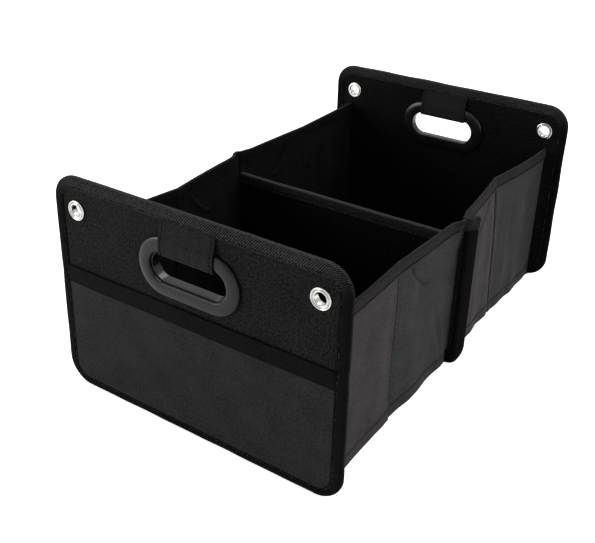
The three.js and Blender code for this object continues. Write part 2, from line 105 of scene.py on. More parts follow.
# Sizes that the frame's boxes don't give
PANEL_RADIUS = 26
TOP_TAPE = 12
SIDE_TAPE = 11
BOTTOM_TAPE = 9
TAPE_SKIN = 1.0
TAPE_ROLL = 2.6
SEAM_INSET = 2.0
SEAM_DEPTH = 0.36
GRIP_BORE = 15.5
GRIP_HOLE = GRIP_BORE + 4
GRIP_SLEEVE_BORE = 13.95
SLEEVE_SINK = 3.2
EYELET_BORE = 5.6
EYELET_HOLE = 7.2
WALL_THICKNESS = 1.6
LAYER_GAP = 0.15
WALL_INNER = DIVIDER_HALF + 0.3
WALL_MID = WALL_INNER + WALL_THICKNESS / 2
LEG_MID = -0.2 - WALL_THICKNESS / 2
FIN_RADIUS = 18
FIN_TAPE = 16.5
CREASE = {"front_left": 12, "front_right": 4, "rear_left": 4, "rear_right": 13}
CREASE_FOOT_SHARE = 0.2
FOOT_HEM = 14
STITCH_PITCH = 3.0
SHEET_CELL = 3.0

# Camera, fitted to the corners of both end panels in the photograph
IMAGE_WIDTH = 595
IMAGE_HEIGHT = 543
FOCAL_PIXELS = 864.5
CENTRE_PIXEL = (320, 220)
SENSOR_WIDTH = 36
CAMERA_AZIMUTH = 31.96
CAMERA_ELEVATION = 25.12
CAMERA_ROLL = 2.37
CAMERA_DISTANCE = 995.9
CAMERA_ASIDE = -18.1
CAMERA_UP = 115.6

# Light: lamps as place and size in metres and power, and how bright the white surroundings are
LAMPS = {
    "key": ((2.0, 0.15, 1.2), 1.2, 25),
    "top": ((0.0, 0.9, 2.1), 1.4, 48),
    "fill": ((-1.5, -1.6, 0.6), 1.1, 29),
}
LAMP_TARGET = (0, 0, 0.1)
AMBIENT = 0.3
FLOOR_GLOW = 0.74
FLOOR_SIZE = 14
FLOOR_DROP = 0.0003
WHITE = (1, 1, 1, 1)


# Materials

class Graph:
    """Short calls that add nodes to a tree and return their output sockets."""

    def __init__(self, tree):
        self.tree = tree

    def fill(self, node, **values):
        """Sets a node's inputs, or links them. Each is named as its socket is."""
        for name, value in values.items():
            self.put(node.inputs[name.replace("_", " ")], value)
        return node

    def put(self, socket, value):
        if isinstance(value, bpy.types.NodeSocket):
            self.tree.links.new(value, socket)
        else:
            socket.default_value = value

    def add(self, kind, **values):
        return self.fill(self.tree.nodes.new("ShaderNode" + kind), **values)

    def math(self, operation, *values):
        node = self.add("Math")
        node.operation = operation
        for socket, value in zip(node.inputs, values):
            self.put(socket, value)
        return node.outputs[0]

    def flat(self):
        """The piece's own flat coordinates, in millimetres: both, along it and across it."""
        both = self.add("UVMap")
        both.uv_map = "flat"
        split = self.add("SeparateXYZ", Vector=both.outputs[0])
        return both.outputs[0], split.outputs[0], split.outputs[1]

    def position(self):
        return self.add("TexCoord").outputs["Object"]

    def noise(self, vector, scale, detail=3.0, roughness=0.55, distortion=0.0):
        return self.add("TexNoise", Vector=vector, Scale=scale, Detail=detail, Roughness=roughness,
                        Distortion=distortion).outputs["Fac"]

    def colours(self, factor, *stops):
        """A colour ramp through (place, colour) stops."""
        node = self.add("ValToRGB", Fac=factor)
        ramp = node.color_ramp
        while len(ramp.elements) < len(stops):
            ramp.elements.new(0.5)
        for element, (place, colour) in zip(ramp.elements, stops):
            element.position = place
            element.color = (*colour, 1)
        return node.outputs[0]

    def bump(self, height, depth):
        """Relief with a depth in millimetres."""
        return self.add("Bump", Strength=1.0, Distance=depth * MM, Height=height).outputs[0]

    def seen(self):
        """1 for what the camera sees, straight or in a reflection, and 0 for light that is cast."""
        path = self.add("LightPath").outputs
        aside = self.math("MAXIMUM", path["Is Glossy Ray"], path["Is Transmission Ray"])
        return self.math("MAXIMUM", path["Is Camera Ray"], aside)


class Finish(Graph):
    """A material with one shader."""

    def __init__(self, name):
        self.material = bpy.data.materials.new(name)
        self.material.use_nodes = True
        super().__init__(self.material.node_tree)
        self.tree.nodes.clear()
        self.shader = self.add("BsdfPrincipled")
        self.out = self.add("OutputMaterial", Surface=self.shader.outputs[0])

    def coat(self, tone, stops, colours, roughness, relief, depth, **constants):
        """Two colours that follow a tone between two stops, roughness and fine relief."""
        self.fill(self.shader, Base_Color=self.colours(tone, *zip(stops, colours)), Roughness=roughness,
                  Normal=self.bump(relief, depth), **constants)
        return self.material


def shades(colour, low, high):
    """A darker and a lighter shade of a colour."""
    return tuple(c * low for c in colour), tuple(c * high for c in colour)


def plain_weave(graph, along, across, pitch):
    """Height of threads that pass over and under each other."""
    threads = [graph.math("MULTIPLY", place, math.pi / pitch) for place in (along, across)]
    warp, weft = (graph.math("SINE", thread) for thread in threads)
    return graph.math("ABSOLUTE", graph.math("MULTIPLY", warp, weft))


def twill(graph, along, across, pitch, slope):
    """Height of ribs that run aslant."""
    lean = graph.math("MULTIPLY_ADD", across, slope, along)
    wave = graph.math("SINE", graph.math("MULTIPLY", lean, 2 * math.pi / pitch))
    return graph.math("MULTIPLY_ADD", wave, 0.5, 0.5)


def herringbone(graph, along, across, pitch, column):
    """Height of ribs that lean one way and the other in columns."""
    return twill(graph, along, graph.math("PINGPONG", across, column), pitch, 1.0)


CLOTH_SHADES = (0.12, 2.2)
MIDDLE_TONE = 0.42
MOTTLE_SCALE = 0.03
FUZZ_SCALE = 0.42


def cloth(name, colour, weave, depth, gloss, sheen, ribs=0.6, grain=1.4, painted_light_stretch=None):
    """Woven surface: thread relief, soft mottling and sheen. The last argument names a stretch of it that is
    painted lighter, as painted light, with the rest darkened as painted shade.
    """
    graph = Finish(name)
    vector, along, across = graph.flat()
    height = weave[0](graph, along, across, *weave[1:])
    mottle = graph.noise(vector, MOTTLE_SCALE, 4.0, 0.6)
    fuzz = graph.noise(vector, FUZZ_SCALE, 3.0, 0.7)
    tone = graph.math("MULTIPLY_ADD", height, ribs, MIDDLE_TONE - ribs / 2)
    tone = graph.math("MULTIPLY_ADD", graph.math("SUBTRACT", fuzz, 0.5), grain, tone)
    tone = graph.math("MULTIPLY_ADD", graph.math("SUBTRACT", mottle, 0.5), 0.5, tone)
    # A stretch painted lighter than the rest: painted light where the tape's top faces the lamps, painted
    # shade on the rest.
    if painted_light_stretch:
        start, end, share, blur = painted_light_stretch
        rise = graph.math("DIVIDE", graph.math("SUBTRACT", along, start), blur)
        fall = graph.math("DIVIDE", graph.math("SUBTRACT", end, along), blur)
        painted_light_mask = graph.math("MINIMUM", graph.math("MINIMUM", rise, fall), 1.0)
        painted_light_mask = graph.math("MAXIMUM", painted_light_mask, 0.0)
        tone = graph.math("MULTIPLY", tone, graph.math("MULTIPLY_ADD", painted_light_mask, 1 - share, share))
    roughness = graph.math("MULTIPLY_ADD", fuzz, 0.15, 0.62)
    relief = graph.math("MULTIPLY_ADD", fuzz, 0.8, height)
    return graph.coat(tone, (0.0, 1.0), shades(colour, *CLOTH_SHADES), roughness, relief, depth,
                      Sheen_Weight=sheen, Sheen_Roughness=0.3, Specular_IOR_Level=gloss)


def sewing_thread(name, dark, light):
    """Black thread with lighter patches painted on here and there, as painted glints."""
    graph = Finish(name)
    place = graph.position()
    painted_glint_patch = graph.noise(place, 420, 2.0)
    twist = graph.noise(place, 2400, 2.0)
    roughness = graph.math("MULTIPLY_ADD", twist, 0.2, 0.5)
    return graph.coat(painted_glint_patch, (0.47, 0.66), (dark, light), roughness, twist, 0.05, Specular_IOR_Level=0.05)


def moulded(name, colour, roughness, shine):
    """Satin moulded plastic: fine grain, and a gloss that varies a little."""
    graph = Finish(name)
    place = graph.position()
    cloud = graph.noise(place, 60, 3.0)
    grain = graph.noise(place, 2600, 2.0)
    gloss = graph.math("MULTIPLY_ADD", cloud, 0.16, roughness - 0.08)
    return graph.coat(cloud, (0.3, 0.7), shades(colour, 0.85, 1.15), gloss, grain, 0.03,
                      Specular_IOR_Level=shine)


def plated(name, colour, roughness):
    """Nickel plate with faint handling marks."""
    graph = Finish(name)
    place = graph.position()
    marks = graph.noise(place, 900, 4.0, 0.7)
    cloud = graph.noise(place, 120, 2.0)
    gloss = graph.math("MULTIPLY_ADD", marks, 0.1, roughness)
    return graph.coat(cloud, (0.3, 0.7), shades(colour, 0.93, 1.03), gloss, marks, 0.004, Metallic=1.0)


def pressed_board(name, colour):
    """Grey board of pressed fibre."""
    graph = Finish(name)
    fibre = graph.noise(graph.position(), 700, 5.0, 0.7, 0.6)
    return graph.coat(fibre, (0.25, 0.75), shades(colour, 0.75, 1.25), 0.9, fibre, 0.15)


def satin_ribbon(name, colour):
    """Blank satin ribbon: very fine threads across it."""
    graph = Finish(name)
    vector, _, across = graph.flat()
    threads = graph.math("SINE", graph.math("MULTIPLY", across, 2 * math.pi / 0.5))
    cloud = graph.noise(vector, 0.2, 2.0)
    return graph.coat(cloud, (0.3, 0.7), shades(colour, 0.8, 1.3), 0.42, threads, 0.03,
                      Specular_IOR_Level=0.08)


# Cloths: colour, weave with its pitch in mm, depth of the threads, gloss, sheen, contrast of ribs and grain
# Start and end along the edge tape of its top stretch, painted lighter as painted light; the share of that
# brightness left on its sides and bottom, as painted shade; and the blur
TAPE_TOP_PAINTED_LIGHT = (215, 562, 0.03, 34)
COVER_CLOTH = cloth("cover_cloth", (0.0100, 0.0100, 0.0106), (plain_weave, 1.9), 0.22, 0.03, 0.0, 0.55, 2.6)
POCKET_CLOTH = cloth("pocket_cloth", (0.0208, 0.0208, 0.0211), (plain_weave, 1.7), 0.08, 0.03, 0.0,
                     0.22, 1.0)
# Two copies of the wall cloth: lighter and warmer for the stretch facing the front, darker and cooler for
# the other, as painted light and shade.
SIDE_PAINTED_LIGHT = cloth("side_cloth_painted_light", (0.0350, 0.0305, 0.0316), (plain_weave, 1.6), 0.09, 0.03, 0.02,
                  0.25, 1.3)
SIDE_PAINTED_SHADE = cloth("side_cloth_painted_shade", (0.0272, 0.0274, 0.0270), (plain_weave, 1.6), 0.09, 0.03, 0.02,
                  0.25, 1.3)
LINING_CLOTH = cloth("lining_cloth", (0.0056, 0.0056, 0.0057), (plain_weave, 1.7), 0.12, 0.02, 0.0, 0.4, 2.2)
EDGE_TAPE = cloth("edge_tape", (0.0250, 0.0250, 0.0262), (twill, 2.4, 0.9), 0.45, 0.015, 0.03, 0.9, 2.2,
                  TAPE_TOP_PAINTED_LIGHT)
FIN_TAPE_CLOTH = cloth("fin_tape_cloth", (0.0016, 0.0016, 0.0018), (twill, 2.2, 0.9), 0.30, 0.015, 0.0)
HEM_TAPE = cloth("hem_tape", (0.0086, 0.0088, 0.0087), (twill, 1.9, 0.5), 0.55, 0.03, 0.05, 1.2, 4.4)
# A lighter copy of the hem tape for the divider's upward edge, as painted light.
DIVIDER_TAPE_PAINTED_LIGHT = cloth("divider_tape", (0.0190, 0.0192, 0.0190), (twill, 1.9, 0.5), 0.55, 0.03, 0.05, 1.2, 3.4)
# A darker copy of the hem tape for its inner leg, as painted shade inside the box.
HEM_INSIDE_PAINTED_SHADE = cloth("hem_inside_painted_shade", (0.0048, 0.0048, 0.0048), (twill, 1.9, 0.5), 0.30, 0.02, 0.0, 0.5, 1.6)
BAND_TAPE = cloth("band_tape", (0.0044, 0.0046, 0.0047), (twill, 1.7, 0.4), 0.14, 0.02, 0.0, 0.6, 1.2)
STRAP_WEBBING = cloth("strap_webbing", (0.0140, 0.0140, 0.0145), (herringbone, 2.2, 6.0), 0.50, 0.04, 0.03,
                      1.8, 3.2)
INNER_TAPE = cloth("inner_tape", (0.0030, 0.0030, 0.0032), (twill, 2.0, 0.8), 0.20, 0.03, 0.0)
# The first thread has lighter patches painted on as painted glints; the dark one has only faint ones.
PAINTED_GLINT_THREAD = sewing_thread("thread", (0.0012, 0.0012, 0.0013), (0.070, 0.070, 0.073))
DARK_THREAD = sewing_thread("dark_thread", (0.0010, 0.0010, 0.0011), (0.0070, 0.0070, 0.0073))
GRIP_PLASTIC = moulded("grip_plastic", (0.0080, 0.0082, 0.0085), 0.22, 0.17)
INNER_PLASTIC = moulded("inner_grip_plastic", (0.0050, 0.0050, 0.0054), 0.26, 0.24)
NICKEL = plated("nickel_plate", (0.50, 0.50, 0.48), 0.16)
FIBRE_BOARD = pressed_board("fibre_board", (0.05, 0.05, 0.048))
SATIN = satin_ribbon("label_satin", (0.0030, 0.0030, 0.0033))


# Meshes

SHARP_CLOTH = 38
SHARP_ROUND = 50
SHARP_THREAD = 60


def turned(points, half):
    """Points of a half in the frame, in metres."""
    sign = -1 if half == "rear" else 1
    return np.asarray(points, float) * (sign * MM, sign * MM, MM)


def spots(*coordinates):
    """Points from their coordinates, any of which may be one number for all."""
    return np.stack([np.ravel(c) for c in np.broadcast_arrays(*coordinates)], 1)


def mesh_object(name, points, faces, loop_uv, material, half="front", sharp=SHARP_CLOTH):
    """A mesh piece in the frame. loop_uv holds one flat coordinate for each face corner."""
    mesh = bpy.data.meshes.new(name)
    mesh.from_pydata(turned(points, half).tolist(), [], [tuple(map(int, f)) for f in faces])
    layer = mesh.uv_layers.new(name="flat")
    layer.data.foreach_set("uv", np.asarray(loop_uv, np.float32).ravel())
    mesh.polygons.foreach_set("use_smooth", [True] * len(mesh.polygons))
    mesh.set_sharp_from_angle(angle=math.radians(sharp))
    mesh.materials.append(material)
    mesh.update()
    piece = bpy.data.objects.new(name, mesh)
    bpy.context.scene.collection.objects.link(piece)
    return piece


def uv_of(faces, flat):
    """Face-corner coordinates from one flat coordinate a point."""
    return np.concatenate([flat[list(face)] for face in faces])


def grid_faces(rows, columns):
    """Quads of a grid of points stored row by row."""
    index = np.arange(rows * columns).reshape(rows, columns)
    quads = np.stack([index[:-1, :-1], index[:-1, 1:], index[1:, 1:], index[1:, :-1]], -1)
    return [tuple(q) for q in quads.reshape(-1, 4)]


def flipped(faces):
    """The same faces, turned over."""
    return [tuple(reversed(face)) for face in faces]


def rim_edges(faces):
    """Edges that belong to one face alone."""
    edges = {(a, b) for face in faces for a, b in zip(face, face[1:] + face[:1])}
    return [(a, b) for a, b in edges if (b, a) not in edges]


def thickened(front, back, faces):
    """A closed sheet: its front faces, the same faces turned over behind, and a rim."""
    count = len(front)
    rim = [(b, a, a + count, b + count) for a, b in rim_edges(faces)]
    behind = [tuple(i + count for i in face) for face in flipped(faces)]
    return np.concatenate([front, back]), list(faces) + behind + sorted(rim)


def sheet_object(name, front, back, faces, flat, material, half="front", sharp=SHARP_CLOTH):
    """A closed sheet as a piece, with the same flat coordinates on both its sides."""
    points, faces = thickened(front, back, faces)
    return mesh_object(name, points, faces, uv_of(faces, np.tile(flat, (2, 1))), material, half, sharp)


def sweep(name, sections, lengths, profile, material, half="front", closed=False, sharp=SHARP_CLOTH):
    """A closed section carried along a path. sections holds stations of points, profile the flat section."""
    sections = np.array(sections)
    across = run_length(profile, closed=True)
    stations, count, _ = sections.shape
    faces, uv = [], []
    last = stations if closed else stations - 1
    for i in range(last):
        k = (i + 1) % stations
        for j in range(count):
            m = (j + 1) % count
            faces.append((i * count + j, i * count + m, k * count + m, k * count + j))
            uv += [(lengths[i], across[j]), (lengths[i], across[j + 1])]
            uv += [(lengths[i + 1], across[j + 1]), (lengths[i + 1], across[j])]
    if not closed:
        ends = [tuple(reversed(range(count))), tuple(range((stations - 1) * count, stations * count))]
        for place, face in zip((0, -1), ends):
            faces.append(face)
            uv += [(lengths[place], across[i % count]) for i in face]
    return mesh_object(name, sections.reshape(-1, 3), faces, uv, material, half, sharp)


def run_length(points, closed=False):
    """Running length along a list of points, with the closing stretch at the end if closed."""
    points = np.asarray(points, float)
    ring = np.vstack([points, points[:1]]) if closed else points
    steps = np.linalg.norm(np.diff(ring, axis=0), axis=1)
    return np.concatenate([[0], np.cumsum(steps)])


def arc(centre, radius, start, end, steps):
    """Points of an arc, angles in degrees."""
    angles = np.radians(np.linspace(start, end, steps))
    return [(centre[0] + radius * math.cos(a), centre[1] + radius * math.sin(a)) for a in angles]


def curve(start, corner, end, steps):
    """Points from start to end along a curve that rounds the corner between them."""
    return [(1 - t) ** 2 * start + 2 * t * (1 - t) * corner + t**2 * end for t in np.linspace(0, 1, steps)]


def filleted(points, radii, steps):
    """An open line whose inner corners are rounded."""
    points = [np.array(p, float) for p in points]
    out = [points[0]]
    for before, here, after, radius in zip(points, points[1:], points[2:], radii):
        a = (before - here) / np.linalg.norm(before - here)
        b = (after - here) / np.linalg.norm(after - here)
        reach = radius / math.tan(math.acos(np.clip(a @ b, -1, 1)) / 2)
        out += curve(here + a * reach, here, here + b * reach, steps)
    return np.array(out + [points[-1]])


def smooth_line(points, spacing=0.35):
    """A rounded line through control points: each inner corner is a curve."""
    points = np.array(points, float)
    middles = (points[:-1] + points[1:]) / 2
    out = [points[0]]
    for start, here, end in zip(middles, points[1:], middles[1:]):
        out += curve(start, here, end, max(3, int(np.linalg.norm(end - start) / spacing)))
    out.append(points[-1])
    keep = [out[0]]
    for point in out[1:]:
        if np.linalg.norm(point - keep[-1]) > 0.05:
            keep.append(point)
    return [tuple(p) for p in keep]


def resampled(points, spacing):
    """The same line with points at even spacing."""
    points = np.asarray(points, float)
    length = run_length(points)
    places = np.linspace(0, length[-1], max(2, int(round(length[-1] / spacing)) + 1))
    return np.stack([np.interp(places, length, values) for values in points.T], 1)


def folded_tape(half_width, foot, top, roll, edge, inner_rise):
    """Section of a tape folded over an edge. edge holds (aside, rise) points at its sewn lower rim.

    Its last four points are the inside. The second value counts the points of one side.
    """
    side = [(half_width + aside, foot + rise) for aside, rise in edge]
    side.append((half_width + 0.08, (foot + top) / 2))
    side += arc((half_width - roll, top - roll), roll, 0, 90, 5)
    inner, low, high = half_width - TAPE_SKIN, foot + inner_rise, top - TAPE_SKIN
    inside = [(-inner, low), (-inner, high), (inner, high), (inner, low)]
    return np.array(side + [(-n, z) for n, z in reversed(side)] + inside), len(side)


# Outlines in X and Z, as distances that are negative inside

def box_distance(x, z, half_width, low, high, radius):
    qx = np.abs(x) - (half_width - radius)
    qz = np.abs(z - (low + high) / 2) - ((high - low) / 2 - radius)
    outside = np.hypot(np.maximum(qx, 0), np.maximum(qz, 0))
    return outside + np.minimum(np.maximum(qx, qz), 0) - radius


def slot_distance(x, z, radius):
    return np.hypot(np.maximum(np.abs(x) - GRIP_STRAIGHT, 0), z - GRIP_CENTRE) - radius


def eyelet_distance(x, z, radius):
    return np.hypot(np.abs(x) - EYELET_X, z - EYELET_Z) - radius


def window_distance(x, z, clearance=0.0):
    """The part of the panel that its binding leaves open."""
    half_width = PANEL_HALF - SIDE_TAPE - clearance
    radius = PANEL_RADIUS - SIDE_TAPE - clearance
    return box_distance(x, z, half_width, BOTTOM_TAPE + clearance, PANEL_TOP - TOP_TAPE - clearance, radius)


def cut_sheet(distance, half_width, low, high):
    """Square cells inside an outline, with the rim moved onto it: points (x, z) and faces."""
    columns = np.linspace(-half_width, half_width, int(2 * half_width / SHEET_CELL) + 1)
    rows = np.linspace(low, high, int((high - low) / SHEET_CELL) + 1)
    x, z = np.meshgrid(columns, rows)
    inside = distance(x, z) < 0.4 * SHEET_CELL
    full = inside[:-1, :-1] & inside[:-1, 1:] & inside[1:, 1:] & inside[1:, :-1]
    quads = np.array(grid_faces(*x.shape))[full.ravel()]
    used, compact = np.unique(quads, return_inverse=True)
    faces = [tuple(q) for q in compact.reshape(-1, 4)]
    rim = np.array(sorted({i for edge in rim_edges(faces) for i in edge}))
    px, pz = x.ravel()[used].copy(), z.ravel()[used].copy()
    step = 0.01
    for _ in range(3):
        rx, rz = px[rim], pz[rim]
        here = distance(rx, rz)
        px[rim] = rx - here * (distance(rx + step, rz) - here) / step
        pz[rim] = rz - here * (distance(rx, rz + step) - here) / step
    return px, pz, faces


# Small random shapes, always the same

def ripple(u, v, seed, scale):
    """Smooth uneven waves of about unit height over two coordinates."""
    rng = np.random.default_rng(seed)
    total = np.zeros_like(np.asarray(u, float))
    for _ in range(6):
        angle = rng.uniform(0, 2 * math.pi)
        size = scale * rng.uniform(0.6, 1.7)
        phase = rng.uniform(0, 2 * math.pi)
        total += np.sin(2 * math.pi * (u * math.cos(angle) + v * math.sin(angle)) / size + phase)
    return total / 2.6


def bell(x, centre, width):
    return np.exp(-(((x - centre) / width) ** 2))


def unit(vectors):
    return vectors / np.linalg.norm(vectors, axis=1)[:, None]


# Stitches: short arched threads

THREAD_RADIUS = 0.42
THREAD_TAPER = 0.55
STITCH_LENGTH = 2.35
STITCH_LIFT = 0.2
STITCH_DIP = 0.3
STITCH_JITTER = 0.35
STITCH_ASIDE = 0.18
STITCH_SIDES = 6
STITCH_RINGS = 5


def stitches(name, rows, body, half="front", thread=DARK_THREAD):
    """One piece of stitches on a body, each lying along its direction and bulging along its normal."""
    centres, directions, normals = (np.concatenate(part) for part in zip(*rows))
    directions, normals = unit(directions), unit(normals)
    sides = np.cross(directions, normals)
    places = np.linspace(-0.5, 0.5, STITCH_RINGS)
    around = np.radians(np.linspace(0, 360, STITCH_SIDES, endpoint=False))
    rings = []
    for t in places:
        radius = THREAD_RADIUS * (1 - (2 * abs(t)) ** 3 * THREAD_TAPER)
        lift = STITCH_LIFT - STITCH_DIP * (2 * t) ** 2
        middle = centres + directions * t * STITCH_LENGTH + normals * lift
        rings += [middle + radius * (math.cos(a) * sides + math.sin(a) * normals) for a in around]
    template = np.stack(rings, 1)
    count, per, _ = template.shape
    one = []
    for start in range(0, per - STITCH_SIDES, STITCH_SIDES):
        for j in range(STITCH_SIDES):
            k = (j + 1) % STITCH_SIDES
            one.append((start + j, start + k, start + STITCH_SIDES + k, start + STITCH_SIDES + j))
    one += [tuple(reversed(range(STITCH_SIDES))), tuple(range(per - STITCH_SIDES, per))]
    faces = [tuple(i + n * per for i in face) for n in range(count) for face in one]
    along = np.repeat(places * STITCH_LENGTH, STITCH_SIDES)
    flat = np.tile(spots(along, np.tile(around, STITCH_RINGS)), (count, 1))
    piece = mesh_object(name, template.reshape(-1, 3), faces, uv_of(faces, flat), thread, half, SHARP_THREAD)
    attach(piece, body)
    return piece


def stitch_line(points, normals, pitch=STITCH_PITCH, closed=False):
    """Centres, directions and normals of stitches along a line of points. normals may be one for all."""
    points = np.asarray(points, float)
    normals = np.broadcast_to(np.asarray(normals, float), points.shape)
    if closed:
        points = np.vstack([points, points[:1]])
        normals = np.vstack([normals, normals[:1]])
    length = run_length(points)
    places = np.arange(pitch / 2, length[-1], pitch)
    rng = np.random.default_rng(7)
    places = places + rng.uniform(-STITCH_JITTER, STITCH_JITTER, len(places))

    def at(where, values):
        return np.stack([np.interp(where, length, column) for column in values.T], 1)
    ahead = at(np.minimum(places + 0.4, length[-1]), points)
    behind = at(np.maximum(places - 0.4, 0), points)
    along = ahead - behind
    sideways = np.cross(along, at(places, normals))
    sideways /= np.maximum(np.linalg.norm(sideways, axis=1)[:, None], 1e-9)
    aside = rng.uniform(-STITCH_ASIDE, STITCH_ASIDE, len(places))[:, None]
    centres = at(places, points) + sideways * aside
    reach = np.linalg.norm(along, axis=1)[:, None]
    slant = sideways * rng.uniform(-STITCH_JITTER, STITCH_JITTER, len(places))[:, None] * reach
    return centres, along + slant, at(places, normals)


def place(piece, body, slot, *nodes):
    """Rides a piece on its body and hides the CAD nodes that it stands for. Its slot is not used."""
    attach(piece, body)
    if nodes:
        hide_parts(*nodes)
    return piece


# End panels

def panel_stations(spacing=3.0):
    """Points of the panel's outline in X and Z, and normals that point inwards."""
    points, normals = [], []
    turn_x, low, high = PANEL_HALF - PANEL_RADIUS, PANEL_RADIUS, PANEL_TOP - PANEL_RADIUS
    for x, z, start in ((turn_x, low, -90), (turn_x, high, 0), (-turn_x, high, 90), (-turn_x, low, 180)):
        points += arc((x, z), PANEL_RADIUS, start, start + 90, 13)
        normals += arc((0, 0), -1, start, start + 90, 13)
    points, normals = np.array(points), np.array(normals)
    dense_points, dense_normals = [], []
    for i in range(len(points)):
        k = (i + 1) % len(points)
        parts = max(1, int(round(np.linalg.norm(points[k] - points[i]) / spacing)))
        for t in np.arange(parts) / parts:
            dense_points.append(points[i] * (1 - t) + points[k] * t)
            dense_normals.append(normals[i] * (1 - t) + normals[k] * t)
    return np.array(dense_points), np.array(dense_normals)


def leg_width(normals):
    """Width of the binding's leg: wider at the top, narrower at the bottom."""
    down, up = np.maximum(-normals[:, 1], 0) ** 2, np.maximum(normals[:, 1], 0) ** 2
    return SIDE_TAPE + (TOP_TAPE - SIDE_TAPE) * down + (BOTTOM_TAPE - SIDE_TAPE) * up


def binding_section(width, depth, roll):
    """Section of a folded tape: (inset, depth) points round its outside and back inside."""
    groove = 0.66
    leg = [
        (width, TAPE_SKIN), (width, 0.5), (width - 0.35, 0.15), (width - 1.2, 0.06), (width - 1.6, groove),
        (width - 2.4, groove), (width - 3.0, 0.0), (width * 0.62, -0.12), (width * 0.5, -0.15),
        (width * 0.36, -0.08),
    ]
    front = leg + arc((roll, roll), roll, 270, 180, 6)
    back = [(i, depth - d) for i, d in reversed(front)]
    return np.array(front + back + [(TAPE_SKIN, depth - TAPE_SKIN), (TAPE_SKIN, TAPE_SKIN)])


def edge_pull(points):
    """How far the ends of the pocket band draw the side edges in."""
    return 0.9 * bell(points[:, 1], (BAND_TOP + BAND_FOOT) / 2, 12)


def panel_binding(half):
    points, normals = panel_stations()
    widths = leg_width(normals)
    length = run_length(points, closed=True)
    wander = 0.22 * ripple(length[:-1], 0 * length[:-1], 11 if half == "front" else 12, 60)
    gather = 0.22 * ripple(length[:-1], 0 * length[:-1], 13, 8)
    pull = edge_pull(points) * np.abs(normals[:, 0]) if half == "front" else 0
    sections = []
    for point, normal, width, shift, wave in zip(points, normals, widths, wander + pull, gather):
        section = binding_section(width, PANEL_DEPTH, TAPE_ROLL)
        section[:, 1] += wave * np.clip((section[:, 0] - 3) / 4, 0, 1) * (section[:, 1] < 0.3)
        inset = section[:, 0] + shift * np.clip((width - section[:, 0]) / width, 0, 1)
        sections.append(spots(point[0] + normal[0] * inset, PANEL_FACE + section[:, 1],
                              point[1] + normal[1] * inset))
    profile = binding_section(SIDE_TAPE, PANEL_DEPTH, TAPE_ROLL)
    piece = sweep(f"{half}_edge_tape", sections, length, profile, EDGE_TAPE, half, closed=True)
    place(piece, f"{half}_panel", "tape", f"{half}_panel_binding")


def panel_stitches(half):
    points, normals = panel_stations(1.5)
    line = points + normals * (leg_width(normals) - SEAM_INSET)[:, None]
    rows = []
    for depth, facing in ((SEAM_DEPTH, -1), (PANEL_DEPTH - SEAM_DEPTH, 1)):
        seam = spots(line[:, 0], PANEL_FACE + depth, line[:, 1])
        rows.append(stitch_line(seam, (0, facing, 0), closed=True))
    stitches(f"{half}_edge_stitches", rows, f"{half}_panel", half, PAINTED_GLINT_THREAD)


def panel_calm(x, z):
    """Nothing at the grip and the eyelets, where the cloth is clamped, and 1 away from them."""
    grip = np.clip((slot_distance(x, z, GRIP_OUTER_RADIUS) - 1) / 8, 0, 1)
    eyelet = np.clip((eyelet_distance(x, z, EYELET_RADIUS) - 0.5) / 5, 0, 1)
    strap = np.where((np.abs(x) < STRAP_HALF + 3) & (z > GRIP_CENTRE), 0.0, 1.0)
    return grip * eyelet * strap


def panel_swell(x, z, seed):
    """How far the cloth stands out from the board: soft waves, and puckers along the seam."""
    inside = -window_distance(x, z)
    seam = np.where(inside > 0, np.exp(-((inside / 7) ** 2)), 0)
    pucker = 0.5 + 0.5 * np.sin((x + z) * 0.62 + 1.5 * ripple(x, z, seed + 1, 60))
    fall = np.clip(inside / 6, 0, 1)
    broad = 0.5 + 0.5 * ripple(x, z, seed, 130)
    return (0.5 * seam * pucker + 0.35 * fall * broad) * panel_calm(x, z)


def panel_sheet(half, name, depth, facing, seed, material, slot, node):
    """Cloth of the panel at a depth, facing out (-1) or into the box (1)."""
    half_width, low, high = PANEL_HALF - SHEET_INSET, SHEET_INSET, PANEL_TOP - SHEET_INSET

    def outline(x, z):
        edge = box_distance(x, z, half_width, low, high, PANEL_RADIUS - SHEET_INSET)
        hole = np.maximum(-slot_distance(x, z, GRIP_HOLE), -eyelet_distance(x, z, EYELET_HOLE))
        return np.maximum(edge, hole)
    x, z, faces = cut_sheet(outline, half_width, low, high)
    front = spots(x, PANEL_FACE + depth + facing * panel_swell(x, z, seed), z)
    back = front - (0, facing * COVER_THICKNESS, 0)
    faces = flipped(faces) if facing > 0 else faces
    piece = sheet_object(f"{half}_{name}", front, back, faces, spots(x, z), material, half)
    place(piece, f"{half}_panel", slot, node)


# Hand grip

def oblong_ring(name, profile, half, material, node):
    """A closed profile of (radius, depth) carried round the oblong opening."""
    sections = []
    for side, start in ((1, -90), (-1, 90)):
        for a in np.radians(np.linspace(start, start + 180, 49)):
            x = side * GRIP_STRAIGHT + profile[:, 0] * math.cos(a)
            sections.append(spots(x, PANEL_FACE + profile[:, 1], GRIP_CENTRE + profile[:, 0] * math.sin(a)))
    length = run_length([section[0] for section in sections], closed=True)
    piece = sweep(name, sections, length, profile, material, half, closed=True, sharp=SHARP_ROUND)
    place(piece, f"{half}_panel", "grip_plastic", node)


def crowned_face(outer, bore, seat, crown, lip):
    """Face of a grip ring: a soft step at its rim, a low crown, and a crisp edge at the opening."""
    steps = [(outer, 0), (outer, 0.3), (outer - 0.1, 0.6), (outer - 1.2, 0.79), (outer - 4.0, 0.94),
             (outer - 7.0, 1), (bore + 2.2, 0.97), (bore + 0.5, 0.9), (bore, 0.76), (bore, 0.5)]
    return smooth_line([(radius, seat + (crown - seat) * share) for radius, share in steps] + [(bore, lip)])


